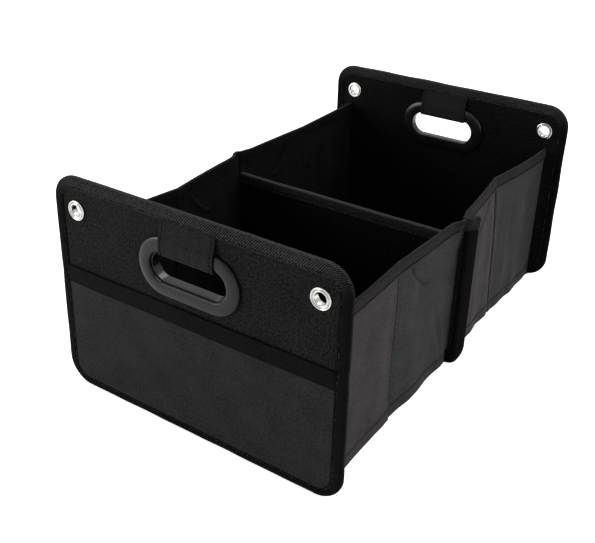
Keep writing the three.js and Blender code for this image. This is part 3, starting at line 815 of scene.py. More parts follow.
def grip(half):
    """Outer ring with its barrel through the panel, and an inner ring whose sleeve plugs into the barrel."""
    seat, barrel_wall = 1.0, 2.5
    face = crowned_face(GRIP_OUTER_RADIUS, GRIP_BORE, seat, GRIP_CROWN_AT, seat + 1.2)
    barrel_outer = GRIP_BORE + barrel_wall
    barrel = [(GRIP_BORE, LINING_FACE), (barrel_outer, LINING_FACE), (barrel_outer, seat)]
    profile = np.array(face + barrel)[::-1]
    oblong_ring(f"{half}_grip_ring_outer", profile, half, GRIP_PLASTIC, f"{half}_grip_outer")

    seat, crown = PANEL_DEPTH - 1.0, PANEL_DEPTH + 3.2
    bore, end, sleeve_outer = GRIP_SLEEVE_BORE, GRIP_CROWN_AT + SLEEVE_SINK, GRIP_BORE - LAYER_GAP
    face = crowned_face(GRIP_OUTER_RADIUS, bore, seat, crown, seat - 1.0)
    sleeve = smooth_line([(bore, seat - 1.2), (bore, end + 0.6), (bore + 0.1, end + 0.1), (bore + 0.6, end)],
                         0.15)
    profile = np.array(face + sleeve + [(sleeve_outer, end), (sleeve_outer, seat)])
    oblong_ring(f"{half}_grip_ring_inner", profile, half, INNER_PLASTIC, f"{half}_grip_inner")


# Strap over the grip

STRAP_MID = 0.7
STRAP_EDGE = 5
STRAP_SEAM = 3.2
STRAP_PITCH = 2.7


def strap_line():
    """Middle line of the strap from its front top, under the grip's bar and up the lining.

    Its points are depths from the panel's middle, and heights.
    """
    reach = STRAP_REACH - STRAP_MID
    sheet = PANEL_DEPTH / 2 - COVER_AT + LAYER_GAP + STRAP_MID
    ring_top = GRIP_CENTRE + GRIP_OUTER_RADIUS
    bottom = STRAP_BOTTOM + STRAP_MID
    side = [(-sheet, STRAP_TOP + 0.2), (-sheet, STRAP_TOP - 1.5), (-reach, ring_top - 2.5), (-reach, bottom)]
    line = side + [(reach, bottom)] + [(-u, v) for u, v in reversed(side[:-1])]
    return resampled(filleted(line, [3, 9, 2.2, 2.2, 9, 3], 9), 1.2)


def grip_strap(half):
    """Webbing that wraps the upper bar of the grip, its sides turned in and sewn."""
    line = strap_line()
    step = unit(np.gradient(line, axis=0))
    outward = np.stack([step[:, 1], -step[:, 0]], 1)
    middle = PANEL_FACE + PANEL_DEPTH / 2
    inner = STRAP_HALF - STRAP_EDGE
    columns = np.concatenate([np.linspace(-STRAP_HALF, -inner, 9)[:-1], np.linspace(-inner, inner, 26),
                              np.linspace(inner, STRAP_HALF, 9)[1:]])
    edge = STRAP_HALF - np.abs(columns)
    rounding = np.sqrt(np.clip(1 - (1 - np.clip(edge / 0.5, 0, 1)) ** 2, 0.02, 1))
    groove = 0.35 * bell(edge, 3.4, 0.6)
    length = run_length(line)
    front, back = [], []
    for point, out, place_at in zip(line, outward, length):
        sag = 0.08 * ripple(columns * 0.4, np.full_like(columns, place_at), 31, 60)
        lift = (0.62 + 0.12 * (edge < 4.4)) * rounding - groove + sag
        for target, height in ((front, lift), (back, sag - 0.6 * rounding)):
            target.append(spots(columns, middle + point[0] + out[0] * height, point[1] + out[1] * height))
    flat = spots(np.repeat(length, len(columns)), np.tile(columns, len(line)))
    piece = sheet_object(f"{half}_grip_webbing", np.concatenate(front), np.concatenate(back),
                         grid_faces(len(line), len(columns)), flat, STRAP_WEBBING, half, SHARP_ROUND)
    place(piece, f"{half}_panel", "ribbed_tape", f"{half}_grip_strap")
    rows = []
    for x in (STRAP_SEAM - STRAP_HALF, STRAP_HALF - STRAP_SEAM):
        surface = line + outward * 0.55
        rows.append(stitch_line(spots(x, middle + surface[:, 0], surface[:, 1]),
                                spots(0.0, outward[:, 0], outward[:, 1]), STRAP_PITCH))
    stitches(f"{half}_webbing_stitches", rows, f"{half}_panel", half)


# Eyelets

def turned_ring(name, profile, x, half, node):
    """A closed profile of (radius, depth) turned about an eyelet's axis."""
    profile = np.array(profile)[::-1]
    sections = []
    for a in np.radians(np.arange(0, 360, 5)):
        height = EYELET_Z + profile[:, 0] * math.sin(a)
        sections.append(spots(x + profile[:, 0] * math.cos(a), PANEL_FACE + profile[:, 1], height))
    length = run_length([section[0] for section in sections], closed=True)
    piece = sweep(name, sections, length, profile, NICKEL, half, closed=True, sharp=SHARP_ROUND)
    place(piece, f"{half}_panel", "eyelet_metal", node)


def eyelet(half, side, x):
    """Flanged barrel with a rolled rim, clenched over a washer on the lining."""
    bore, outer = EYELET_BORE, EYELET_RADIUS
    back = LINING_FACE + LAYER_GAP + 0.9
    face = smooth_line([
        (outer - 0.2, 1.0), (outer, 0.8), (outer, 0.1), (outer - 0.3, -0.45), (outer - 0.9, -0.55),
        (outer - 1.4, -0.1), (outer - 1.7, 0.7), (outer - 2.1, 0.7), (bore + 1.6, -0.2), (bore + 1.1, -0.75),
        (bore + 0.5, -0.65), (bore, -0.1), (bore, 0.9),
    ], 0.25)
    clench = smooth_line([
        (bore, back - 4.0), (bore + 0.1, back - 1.5), (bore + 0.8, back + 0.3), (bore + 1.6, back + 1.0),
        (bore + 2.2, back + 0.7), (bore + 2.1, back + 0.05),
    ], 0.3)
    behind = [(bore + 1.0, back - 0.4), (bore + 0.4, back - 2.0), (bore + 0.4, 1.0)]
    turned_ring(f"{half}_eyelet_ring_{side}", face + clench + behind, x, half, f"{half}_eyelet_{side}")
    near = LINING_FACE + LAYER_GAP
    dish = smooth_line([
        (outer - 0.2, near), (outer, near + 0.25), (outer - 0.3, near + 0.6), (outer - 1.4, near + 0.75),
        (outer - 2.4, near + 0.55), (bore + 2.0, near + 0.7), (bore + 1.15, near + 0.85),
    ], 0.3)
    turned_ring(f"{half}_eyelet_back_{side}", dish + [(bore + 1.15, near)], x, half,
                f"{half}_eyelet_washer_{side}")


# Pocket of the front panel

POCKET_TOP = BAND_TOP - 1.0
POCKET_AT = 0.2
POCKET_THICKNESS = 0.75
BAND_LEG = 0.8
BAND_SEAM = 1.9


def pocket_swell(x, z):
    """The flat pocket's cloth stands out a little between its sewn sides."""
    across = np.clip(1 - (np.abs(x) / (PANEL_HALF - SIDE_TAPE)) ** 4, 0, 1)
    upward = np.clip((z - BOTTOM_TAPE) / 60, 0, 1)
    return across * upward * (0.45 + 0.25 * ripple(x, z, 41, 110))


def pocket():
    def outline(x, z):
        return np.maximum(window_distance(x, z, LAYER_GAP), z - POCKET_TOP)
    half_width = PANEL_HALF - SIDE_TAPE - LAYER_GAP
    x, z, faces = cut_sheet(outline, half_width, BOTTOM_TAPE + LAYER_GAP, POCKET_TOP)
    front = spots(x, PANEL_FACE + POCKET_AT - pocket_swell(x, z), z)
    back = front + (0, POCKET_THICKNESS, 0)
    piece = sheet_object("front_pocket_cloth", front, back, faces, spots(x, z), POCKET_CLOTH)
    place(piece, "front_panel", "cloth", "front_pocket")


def pocket_band():
    """Tape folded over the pocket's upper edge."""
    half_width = PANEL_HALF - SIDE_TAPE - 0.3
    places = np.linspace(-half_width, half_width, 100)
    section = np.array(
        [(-0.1, BAND_FOOT + 0.1), (-0.75, BAND_FOOT), (-0.85, BAND_FOOT + 1.2),
         (-0.62, BAND_FOOT + BAND_SEAM), (-0.88, BAND_FOOT + 2.6), (-0.9, (BAND_FOOT + BAND_TOP) / 2),
         (-0.85, BAND_TOP - 2.6)]
        + arc((-0.85 + BAND_LEG, BAND_TOP - BAND_LEG), BAND_LEG, 180, 90, 5)
        + arc((0.95 - BAND_LEG, BAND_TOP - BAND_LEG), BAND_LEG, 90, 0, 5)
        + [(0.95, BAND_TOP - 3), (0.15, BAND_TOP - 3), (0.1, BAND_TOP - 1.2), (0.0, BAND_TOP - 1.2)])
    depth, height = section.T
    fade = np.clip((1.2 - depth) / 2, 0, 1)
    sections = []
    for x in places:
        swell = pocket_swell(np.full_like(depth, x), np.clip(height, 0, BAND_TOP))
        sections.append(spots(x, PANEL_FACE + depth - swell * fade, height))
    piece = sweep("front_pocket_tape", sections, places, section, BAND_TAPE)
    place(piece, "front_panel", "ribbed_tape", "front_pocket_band")
    z = np.full_like(places, BAND_FOOT + BAND_SEAM)
    seam = spots(places, PANEL_FACE - 0.62 - pocket_swell(places, z), z)
    stitches("front_pocket_stitches", [stitch_line(seam, (0, -1, 0))], "front_panel")


# Blank label on the rear lining

LABEL_THICKNESS = 0.25


def care_label():
    """Small ribbon sewn on by its top, its free corner lifted a little."""
    label_low, label_high = corners("rear_label")
    columns, rows = 15, 11
    left, right = -label_high[0], -label_low[0]
    x, z = np.meshgrid(np.linspace(left, right, columns), np.linspace(label_low[2], label_high[2], rows))
    low = (label_high[2] - z) / (label_high[2] - label_low[2])
    lift = 0.15 + 0.75 * low**2 * (0.5 + 0.5 * ripple(x, z, 51, 50))
    front = spots(x, PANEL_FACE + LINING_FACE + 0.2 + lift, z)
    back = front - (0, LABEL_THICKNESS, 0)
    faces = flipped(grid_faces(rows, columns))
    piece = sheet_object("rear_blank_label", front, back, faces, spots(x, z), SATIN, "rear")
    place(piece, "rear_panel", "label_satin", "rear_label")


# Side walls

CORNER_RADIUS = 2.4
WALL_LENGTH = -WALL_END + LEG_MID - CORNER_RADIUS
CORNER_LENGTH = CORNER_RADIUS * math.pi / 2
LEG_LENGTH = LEG_END - WALL_MID - CORNER_RADIUS
PATH_LENGTH = WALL_LENGTH + CORNER_LENGTH + LEG_LENGTH
CREASE_AT = -WALL_END / 2
LEG_FROM = WALL_LENGTH + CORNER_LENGTH
LEG_BASE = WALL_MID + CORNER_RADIUS
WALL_FOOT = 0.2
LEG_FOOT = 1.15
STRIP_TOP = 0.72
STRIP_THICKNESS = 0.55
HEM_PROUD = 0.9
CLOSEST = 0.45

# The fins lean towards the rear, and the walls open a little above the divider
LEAN = math.radians(68)
LEAN_RUN = 8.0
MOUTH = 4.5
MOUTH_FOOT = 138.0
SAG = {"right": 4.5, "left": 1.0}
DROOP = {"right": 0.5, "left": 7.5}

# Waves of the cloth: seed, height, share of the wall's height that counts, and length
WAVES = ((0, 0.7, 0.22, 46), (2, 0.22, 0.3, 24), (1, 0.8, 0.6, 150))
WRINKLE = np.array([(24, 157), (30, 147), (41, 136), (50, 129), (59, 128)])


class Wall:
    """A half wall: the half and side that it is on, its own waves, its crease, and how the fin leans."""

    def __init__(self, half, side, mirror, seed):
        self.half, self.side, self.mirror, self.seed = half, side, mirror, seed
        self.crease = CREASE[f"{half}_{side}"]
        self.way = 1 if half == "front" else -1

    def plan(self, s, z, offset):
        """X and Y at a path length and height, offset from the wall's middle."""
        x, y, nx, ny = wall_plan(s, z, self.way)
        out = offset + wall_relief(s, z, self.seed) + np.where(offset > 0, foot_step(z), 0)
        return self.mirror * (x + nx * out - drawn_in(s, z, self.crease) * (s < LEG_FROM)), y + ny * out

    def points(self, s, z, offset):
        return spots(*self.plan(s, z, offset), sagged(z, s, self.side))

    def fold_up(self, piece):
        """Gives the piece its own copy of its mesh."""
        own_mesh(piece)


def leant(d, n, way):
    """A point of the fin, d out from its root and n off its middle, once the fin is bent aside."""
    bend = np.clip(d / LEAN_RUN, 0, 1) * LEAN
    radius = LEAN_RUN / LEAN
    straight = np.maximum(d - LEAN_RUN, 0)
    x = radius * np.sin(bend) + straight * math.cos(LEAN)
    y = radius * (1 - np.cos(bend)) + straight * math.sin(LEAN)
    return x - way * n * np.sin(bend), way * y + n * np.cos(bend), bend


def fin_bent(x, y, way=1):
    """A point of the wall or of the fin's binding, leaning with the fin past its root."""
    bent_x, bent_y, bend = leant(np.maximum(x - LEG_BASE, 0), y, way)
    past = x > LEG_BASE
    return np.where(past, LEG_BASE + bent_x, x), np.where(past, bent_y, y), bend


def mouth(z):
    """How far the walls' corner opens out above the divider."""
    return MOUTH * np.clip((z - MOUTH_FOOT) / (HEM_TOP - MOUTH_FOOT), 0, 1)


def wall_plan(s, z, way):
    """Middle line of a half wall seen from above, from the panel to the fin's edge, with outward normals."""
    turn = np.clip((s - WALL_LENGTH) / CORNER_LENGTH, 0, 1) * math.pi / 2
    out = np.clip(s - LEG_FROM, 0, None)
    root = mouth(z) * np.exp(-((np.minimum(s - WALL_LENGTH, 0) / 9) ** 2))
    x = WALL_MID + CORNER_RADIUS * (1 - np.cos(turn)) + root + out * (1 - root / LEG_LENGTH)
    y = WALL_END + np.minimum(s, WALL_LENGTH) + CORNER_RADIUS * np.sin(turn)
    x, y, bend = fin_bent(x, y, way)
    on_leg = np.clip(turn / (math.pi / 2), 0, 1)
    return x, y, np.cos(turn) + way * np.sin(bend) * on_leg, -np.sin(turn) * np.cos(bend * on_leg)


def sagged(z, s, side):
    """Height of the wall's cloth, which sags a little between the panels."""
    share = np.clip(z / HEM_TOP, 0, 1) ** 2
    out = np.clip((s - LEG_FROM) / LEG_LENGTH, 0, 1)
    return z - share * (SAG[side] * (0.55 + 0.45 * np.clip(s / 60, 0, 1)) + DROOP[side] * out)


def drawn_in(s, z, crease):
    """How far the wall's crease is drawn into the box."""
    share = 1 - np.minimum(np.abs(s - CREASE_AT) / CREASE_AT, 1)
    rise = CREASE_FOOT_SHARE + (1 - CREASE_FOOT_SHARE) * z / HEM_TOP
    return crease * share**1.4 * rise


def wall_relief(s, z, seed):
    """Soft shape of the cloth: upright waves, pulls from the fin's foot, and the pressed crease."""
    free = np.clip(s / 12, 0, 1) * np.clip((WALL_LENGTH - s) / 10, 0, 1)
    calm_top = np.clip((HEM_FOOT - z) / 40, 0, 1) ** 0.7
    waves = sum(height * ripple(s, z * share, seed + n, size) for n, height, share, size in WAVES) * calm_top
    from_fin = WALL_LENGTH - s
    near_foot = np.clip(z / 12, 0, 1) * np.clip((110 - z) / 60, 0, 1)
    pull = bell(from_fin - 0.22 * z, 5, 4) + 0.8 * bell(from_fin - 0.5 * z, 9, 6)
    pull -= 0.7 * bell(from_fin - 0.36 * z, 7, 3.5)
    from_crease = s - CREASE_AT
    lips = bell(from_crease, -3.2, 2.2) - bell(from_crease, 3.4, 2.4)
    press = np.clip((HEM_FOOT - z) / 6, 0.15, 1)
    pressed = press * (0.5 * lips - 1.5 * bell(from_crease, 0, 1.1))
    return free * (waves + 1.3 * pull * near_foot + wrinkle(s, z, seed)) + pressed


def wrinkle(s, z, seed):
    """A narrow fold that runs down from the hem beside the crease, and a shallow V below it."""
    places = WRINKLE if seed % 2 else WRINKLE * (0.6, 1.0) + (6, 0)
    depth = np.zeros_like(np.asarray(s, float))
    for start, end in zip(places, places[1:]):
        line = end - start
        u, v = s - CREASE_AT - start[0], z - start[1]
        t = np.clip((u * line[0] + v * line[1]) / (line @ line), 0, 1)
        depth = np.maximum(depth, bell(np.hypot(u - t * line[0], v - t * line[1]), 0, 1.7))
    return -1.9 * depth


def foot_step(z):
    """The turned-up hem at the wall's foot stands a little proud, under a sewn line."""
    return 0.45 / (1 + np.exp((z - FOOT_HEM) / 0.25)) - 0.35 * bell(z, FOOT_HEM + 0.2, 0.8)


def leg_foot(s):
    """Lowest height of the wall's leg inside the fin's binding, rounded at its outer corner."""
    radius = FIN_RADIUS - LEG_FOOT
    out = np.clip(s - LEG_FROM, 0, None)
    over = np.clip(out - (LEG_LENGTH - radius), 0, radius * 0.999)
    return np.where(out > 0, LEG_FOOT + radius - np.sqrt(radius**2 - over**2), WALL_FOOT)


def even_and(fine, low, high, spacing):
    """Places at even spacing, with fine ones added."""
    places = np.linspace(low, high, int((high - low) / spacing) + 1)
    places = places[np.min(np.abs(places[:, None] - np.array(fine)[None]), 1) > CLOSEST]
    return np.sort(np.concatenate([places, fine]))


def path_places(beside_crease, round_corner, spacing):
    """Path lengths of a half wall up to its leg, close together at the crease and round the corner."""
    near = [CREASE_AT + d * way for d in beside_crease for way in (-1, 1)]
    corner = (WALL_LENGTH + CORNER_LENGTH * np.linspace(0, 1, round_corner)).tolist()
    s = even_and(near + corner, 0, LEG_FROM, spacing)
    return s[s <= LEG_FROM]


def wall_sheet(name, wall, s, with_foot):
    """Closed sheet of a half wall over a range of path lengths, lined on its inner side. Its outer side
    takes a lighter, warmer cloth where it faces the front and a darker, cooler one elsewhere, as painted
    light and shade; a fin's leg takes the lining outside too, as painted shade.
    """
    heights = even_and([FOOT_HEM + d for d in (-1.2, -0.5, 0.0, 0.5, 1.2, 2.0)], WALL_FOOT, WALL_TOP, 2.2)
    ss, zz = np.meshgrid(s, heights)
    foot = leg_foot(ss)
    zz = foot + (zz - WALL_FOOT) / (WALL_TOP - WALL_FOOT) * (WALL_TOP - foot)
    outside, inside = (wall.points(ss, zz, way * (WALL_THICKNESS / 2 - 0.1)) for way in (1, -1))
    faces = grid_faces(len(heights), len(s))
    faces = flipped(faces) if wall.mirror < 0 else faces
    outer_faces = len(faces)
    points, faces = thickened(outside, inside, faces)
    lined = len(faces)
    flat = np.tile(spots(ss, zz), (2, 1))
    if with_foot:
        foot_points, foot_faces = turned_in_foot(wall)
        faces = faces + [tuple(i + len(points) for i in f) for f in foot_faces]
        points = np.concatenate([points, foot_points])
        flat = np.concatenate([flat, foot_points[:, [1, 0]]])
    piece = mesh_object(name, points, faces, uv_of(faces, flat), SIDE_PAINTED_LIGHT, wall.half)
    piece.data.materials.append(LINING_CLOTH)
    piece.data.materials.append(SIDE_PAINTED_SHADE)
    slots = np.zeros(len(piece.data.polygons), np.int32)
    # The stretch that faces the front takes the lighter, warmer copy and the other the darker, cooler one:
    # painted light and shade.
    by_fin = s[np.arange(outer_faces) % (len(s) - 1)] >= CREASE_AT
    # A fin's leg, which has no foot, takes the dark lining on its outer side too, as painted shade in the
    # fin's groove.
    slots[:outer_faces] = np.where(by_fin == (wall.half == "front"), 2, 0) if with_foot else 1
    slots[outer_faces:2 * outer_faces] = 1
    slots[lined:] = 1
    piece.data.polygons.foreach_set("material_index", slots)
    return piece


def side_wall(wall):
    """A half wall with the strip at its foot, and its leg inside the fin."""
    half, side = wall.half, wall.side
    name = f"{half}_side_cloth_{side}"
    piece = wall_sheet(name, wall, path_places((0.35, 0.9, 1.8, 3.2), 5, 1.8), True)
    place(piece, "root", "wall_cloth", f"{half}_wall_{side}")
    wall.fold_up(piece)
    leg = wall_sheet(f"{half}_fin_cloth_{side}", wall, np.linspace(LEG_FROM, PATH_LENGTH, 14), False)
    place(leg, "root", "wall_cloth")
    wall_seams(wall)


def turned_in_foot(wall):
    """Strip of the wall's foot that lies on the ground as far as the floor boards."""
    past_floor = WALL_LENGTH + CORNER_LENGTH * np.array([0.3, 0.35, 1.0])
    s = np.concatenate([np.linspace(0, WALL_LENGTH, 58), past_floor])
    outer, y = wall.plan(s, np.zeros_like(s), 0.0)
    inner = wall.mirror * np.where(s > past_floor[0] + 0.01, DIVIDER_HALF + 0.1, FLOOR_HALF + 0.05)
    front = np.concatenate([spots(x, y, STRIP_TOP) for x in (outer, (outer + inner) / 2, inner)])
    faces = grid_faces(3, len(s))
    faces = flipped(faces) if wall.mirror < 0 else faces
    return thickened(front, front - (0, 0, STRIP_THICKNESS), faces)


def wall_seams(wall):
    """Stitches at the turned-up hem of the foot, along the hem tape and down the crease."""
    along = np.arange(2, WALL_LENGTH - 2, 1.5)
    upward = np.arange(FOOT_HEM + 2, HEM_FOOT - 2, 1.5)
    proud = WALL_THICKNESS / 2 + HEM_PROUD
    lines = ((along, np.full_like(along, FOOT_HEM - 1.6), WALL_THICKNESS / 2 - 0.08),
             (along, np.full_like(along, HEM_FOOT + 2.0), proud),
             (np.full_like(upward, CREASE_AT), upward, proud))
    rows = [stitch_line(wall.points(*line), (wall.mirror, 0, 0)) for line in lines]
    wall.fold_up(stitches(f"{wall.half}_side_stitches_{wall.side}", rows, "root", wall.half))


def hem_tape(wall):
    """Tape folded over the wall's upper edge and over its leg in the fin."""
    half, side = wall.half, wall.side
    piece = hem_stretch(f"{half}_hem_tape_{side}", wall, path_places((0.5, 1.5, 3.2), 6, 3.0))
    place(piece, "root", "ribbed_tape", f"{half}_hem_{side}")
    wall.fold_up(piece)
    s = np.linspace(LEG_FROM, PATH_LENGTH + 1.0, 12)
    place(hem_stretch(f"{half}_fin_hem_{side}", wall, s), "root", "ribbed_tape")


def hem_stretch(name, wall, s):
    """A stretch of the hem tape between two path lengths."""
    half_width = WALL_THICKNESS / 2 + LAYER_GAP + TAPE_SKIN
    edge = ((-0.7, 0), (-0.1, 0.2), (0, 1.2), (-0.35, 1.7), (-0.35, 2.4), (0.03, 3.2))
    section, on_side = folded_tape(half_width, HEM_FOOT, HEM_TOP, 1.5, edge, 0.3)
    across, heights = section.T
    count, skins = len(section), len(section) - 4
    limit = np.where(np.arange(count) < skins, LEG_MID + 0.03, LEG_MID + 0.45)
    bulge = 0.18 * ripple(s, 0 * s, wall.seed + 5, 26)
    sections = []
    for place_s, swell in zip(s, bulge):
        turn = np.clip((place_s - WALL_LENGTH) / CORNER_LENGTH, 0, 1)
        offset = np.maximum(across, (1 - turn) * -half_width * 1.1 + turn * limit)
        here = np.full(count, place_s)
        x, y, nx, ny = wall_plan(here, heights, wall.way)
        relief = wall_relief(here, np.full(count, HEM_TOP), wall.seed)
        out = offset + relief + swell * (1 - turn) * (heights < HEM_FOOT + 4)
        drawn = drawn_in(here, heights, wall.crease) * (turn < 1)
        sections.append(spots(wall.mirror * (x + nx * out - drawn), y + ny * out,
                              sagged(heights, here, wall.side)))
    sections = np.array(sections)
    inner = set(range(on_side + 3, skins))
    if wall.mirror < 0:
        sections, section = sections[:, ::-1], section[::-1]
        inner = {count - 2 - j for j in inner}
    piece = sweep(name, sections[::-1], s[::-1], section, HEM_TAPE, wall.half)
    # The inner leg of the tape takes the darker copy, as painted shade.
    piece.data.materials.append(HEM_INSIDE_PAINTED_SHADE)
    polygons = np.arange(len(piece.data.polygons))
    inside = np.isin(polygons % count, sorted(inner)) & (polygons < (len(s) - 1) * count)
    piece.data.polygons.foreach_set("material_index", inside.astype(np.int32))
    return piece


# Fins

FIN_TOP_RADIUS = 5
FIN_ROLL = 2.0


def fin_tape(side, mirror):
    """Tape folded round the fin's edge, from under the hem down round its lower corner."""
    line = resampled([(FIN_OUTER, FIN_TOP), (FIN_OUTER, FIN_RADIUS)], 3.0).tolist()[:-1]
    line += arc((FIN_OUTER - FIN_RADIUS, FIN_RADIUS), FIN_RADIUS, 0, -90, 15)
    line = np.array(line + [(FIN_OUTER - FIN_RADIUS - 2, 0), (WALL_MID + 1.1, 0)])
    step = unit(np.gradient(line, axis=0))
    inward = np.stack([step[:, 1], -step[:, 0]], 1)
    section = binding_section(FIN_TAPE, 2 * FIN_HALF, FIN_ROLL)
    turn_x, turn_z = FIN_OUTER - FIN_TOP_RADIUS, FIN_TOP - FIN_TOP_RADIUS
    sections = []
    for point, normal in zip(line, inward):
        x = point[0] + normal[0] * section[:, 0]
        z = point[1] + normal[1] * section[:, 0]
        reach = np.hypot(x - turn_x, z - turn_z)
        outside = (x > turn_x) & (z > turn_z) & (reach > FIN_TOP_RADIUS)
        shrink = np.where(outside, FIN_TOP_RADIUS / np.maximum(reach, 1e-6), 1)
        x = np.where(outside, turn_x + (x - turn_x) * shrink, x)
        z = np.where(outside, turn_z + (z - turn_z) * shrink, z)
        z = sagged(z, x - LEG_BASE + LEG_FROM, side)
        x, y, _ = fin_bent(x, section[:, 1] - FIN_HALF)
        sections.append(spots(mirror * x, y, z))
    sections = np.array(sections)
    sections = sections[:, ::-1] if mirror < 0 else sections
    piece = sweep(f"fin_tape_{side}", sections, run_length(line), section, FIN_TAPE_CLOTH)
    place(piece, "root", "tape", f"fin_binding_{side}")
    seam = (line + inward * (FIN_TAPE - SEAM_INSET))[1:]
    z = sagged(seam[:, 1], seam[:, 0] - LEG_BASE + LEG_FROM, side)
    rows = []
    for facing in (-1, 1):
        x, y, _ = fin_bent(seam[:, 0], np.full(len(seam), facing * (FIN_HALF - SEAM_DEPTH)))
        rows.append(stitch_line(spots(mirror * x, y, z), (0, facing, 0)))
    stitches(f"fin_stitches_{side}", rows, "root")


# Divider

DIVIDER_CLOTH = 0.8


def divider():
    low, high = corners("divider_front_cloth")
    columns, rows = 70, 38
    x, z = np.meshgrid(np.linspace(low[0], high[0], columns), np.linspace(low[2], high[2], rows))
    edge = np.clip(np.minimum(high[0] - np.abs(x), np.minimum(z - low[2], high[2] - z)) / 15, 0, 1)
    for name, facing, seed in (("front", -1, 61), ("rear", 1, 62)):
        swell = 0.35 * edge * (0.5 + 0.5 * ripple(x, z, seed, 120))
        front = spots(x, facing * (-low[1] + swell), z)
        faces = grid_faces(rows, columns)
        faces = flipped(faces) if facing > 0 else faces
        back = front - (0, facing * DIVIDER_CLOTH, 0)
        piece = sheet_object(f"divider_{name}_cover", front, back, faces, spots(x, z), LINING_CLOTH)
        place(piece, "root", "lining", f"divider_{name}_cloth")


def divider_tape():
    """Tape folded over the divider's upper edge."""
    low, high = corners("divider_top_tape")
    half_width, foot = high[1], low[2]
    edge = ((-0.6, 0), (-0.05, 0.3), (0, 1.1), (-0.28, 1.7), (-0.28, 2.3), (0.03, 2.9))
    section, _ = folded_tape(half_width, foot, high[2], 1.8, edge, 0.2)
    places = np.linspace(-DIVIDER_HALF, DIVIDER_HALF, 90)
    sections = []
    for x in places:
        wander = 0.2 * float(ripple(np.array(x), np.array(0.0), 71, 90))
        sections.append(spots(x, section[:, 0] + wander * 0.5, section[:, 1] + wander))
    piece = sweep("divider_edge_tape", sections, places, section, DIVIDER_TAPE_PAINTED_LIGHT)
    place(piece, "root", "tape", "divider_top_tape")
    rows = []
    for facing in (-1, 1):
        rows.append(stitch_line(spots(places, facing * (half_width - 0.26), foot + 2.0), (0, facing, 0)))
    stitches("divider_stitches", rows, "root", thread=PAINTED_GLINT_THREAD)


# Floor boards in their cloth sleeves

def floor_sleeve(half, part):
    """A closed sleeve round a floor board, its upper side a little uneven."""
    low, high = corners(f"front_floor_{part}_sleeve")
    radius, skin = 1.9, 0.85
    left, right, under, over = low[1] + radius, high[1] - radius, low[2] + radius, high[2] - radius
    outer = np.array(arc((right, under), radius, -90, 0, 5) + arc((right, over), radius, 0, 90, 5)
                     + [(y, high[2]) for y in np.linspace(right, left, 34)[1:-1]]
                     + arc((left, over), radius, 90, 180, 5) + arc((left, under), radius, 180, 270, 5))
    middle, reach = (low[1:] + high[1:]) / 2, (high[1:] - low[1:]) / 2
    inner = middle + (outer - middle) * (reach - skin) / reach
    section = np.concatenate([outer, outer[:1] + (1e-3, 0), inner[:1] + (1e-3, 0), inner[::-1]])
    y, z = section.T
    on_top = np.clip((z - middle[1]) / reach[1], 0, 1) ** 4
    places = np.linspace(low[0], high[0], 80)
    sections = []
    for x in places:
        swell = 0.3 * on_top * ripple(np.full_like(y, x), y, 81, 90)
        sections.append(spots(x, y, np.minimum(z + swell, high[2] + 0.25)))
    piece = sweep(f"{half}_floor_cover_{part}", sections, places, section, LINING_CLOTH, half)
    place(piece, f"{half}_floor_{part}", "lining", f"{half}_floor_{part}_sleeve")


# Cloth strips of the floor's hinges

HINGE_RISE = 0.78
HINGE_END = 139
HINGE_FOOT = 0.1
HINGE_SIDE = 0.55
UNDER_ROLL = 2.6


def hinge_strip(name, half, stations, body, node):
    """A strip swept across the box through (x, section) stations."""
    sections = [spots(x, section[:, 0], section[:, 1]) for x, section in stations]
    piece = sweep(name, sections, [x for x, _ in stations], stations[0][1], INNER_TAPE, half)
    place(piece, body, "tape", node)


def hinge_cloth(half):
    """Strips under the floor: one along the divider, one sewn in under the end panel's edge tape."""
    low, high = corners("front_inner_hinge_tape")
    y = np.linspace(low[1] + 0.4, high[1] - 0.4, 10)
    stations = []
    for x in np.linspace(low[0], high[0], 60):
        top = HINGE_RISE - 0.12 + 0.1 * ripple(np.full_like(y, x), y, 91, 40)
        near, far = ([(side, HINGE_FOOT), (side, HINGE_SIDE)] for side in (low[1], high[1]))
        stations.append((x, np.array(near + list(zip(y, top)) + far[::-1])[::-1]))
    hinge_strip(f"{half}_inner_hinge_cloth", half, stations, "root", f"{half}_inner_hinge_tape")

    low, high = corners("front_outer_hinge_tape")
    seat = PANEL_FACE + PANEL_DEPTH
    under = [(seat - 0.5, 1.2), (seat - 1.6, UNDER_ROLL), (seat - 2.2, UNDER_ROLL), (seat - 2.2, HINGE_FOOT)]
    wide = np.linspace(low[0], high[0], 60)
    stations = []
    for x in np.concatenate([(-HINGE_END, low[0] - 0.03), wide, (high[0] + 0.03, HINGE_END)]):
        inner_edge = high[1] if low[0] <= x <= high[0] else seat + 0.1
        flat = np.linspace(inner_edge, seat + 0.05, 8)
        wave = 0.08 * ripple(np.full_like(flat, x), flat, 92, 40)
        wave[[0, -1]] = 0
        section = [(inner_edge, HINGE_FOOT)] + list(zip(flat, HINGE_RISE - 0.1 + wave)) + under
        stations.append((x, np.array(section)))
    hinge_strip(f"{half}_outer_hinge_cloth", half, stations, f"{half}_panel", f"{half}_outer_hinge_tape")


# Studio

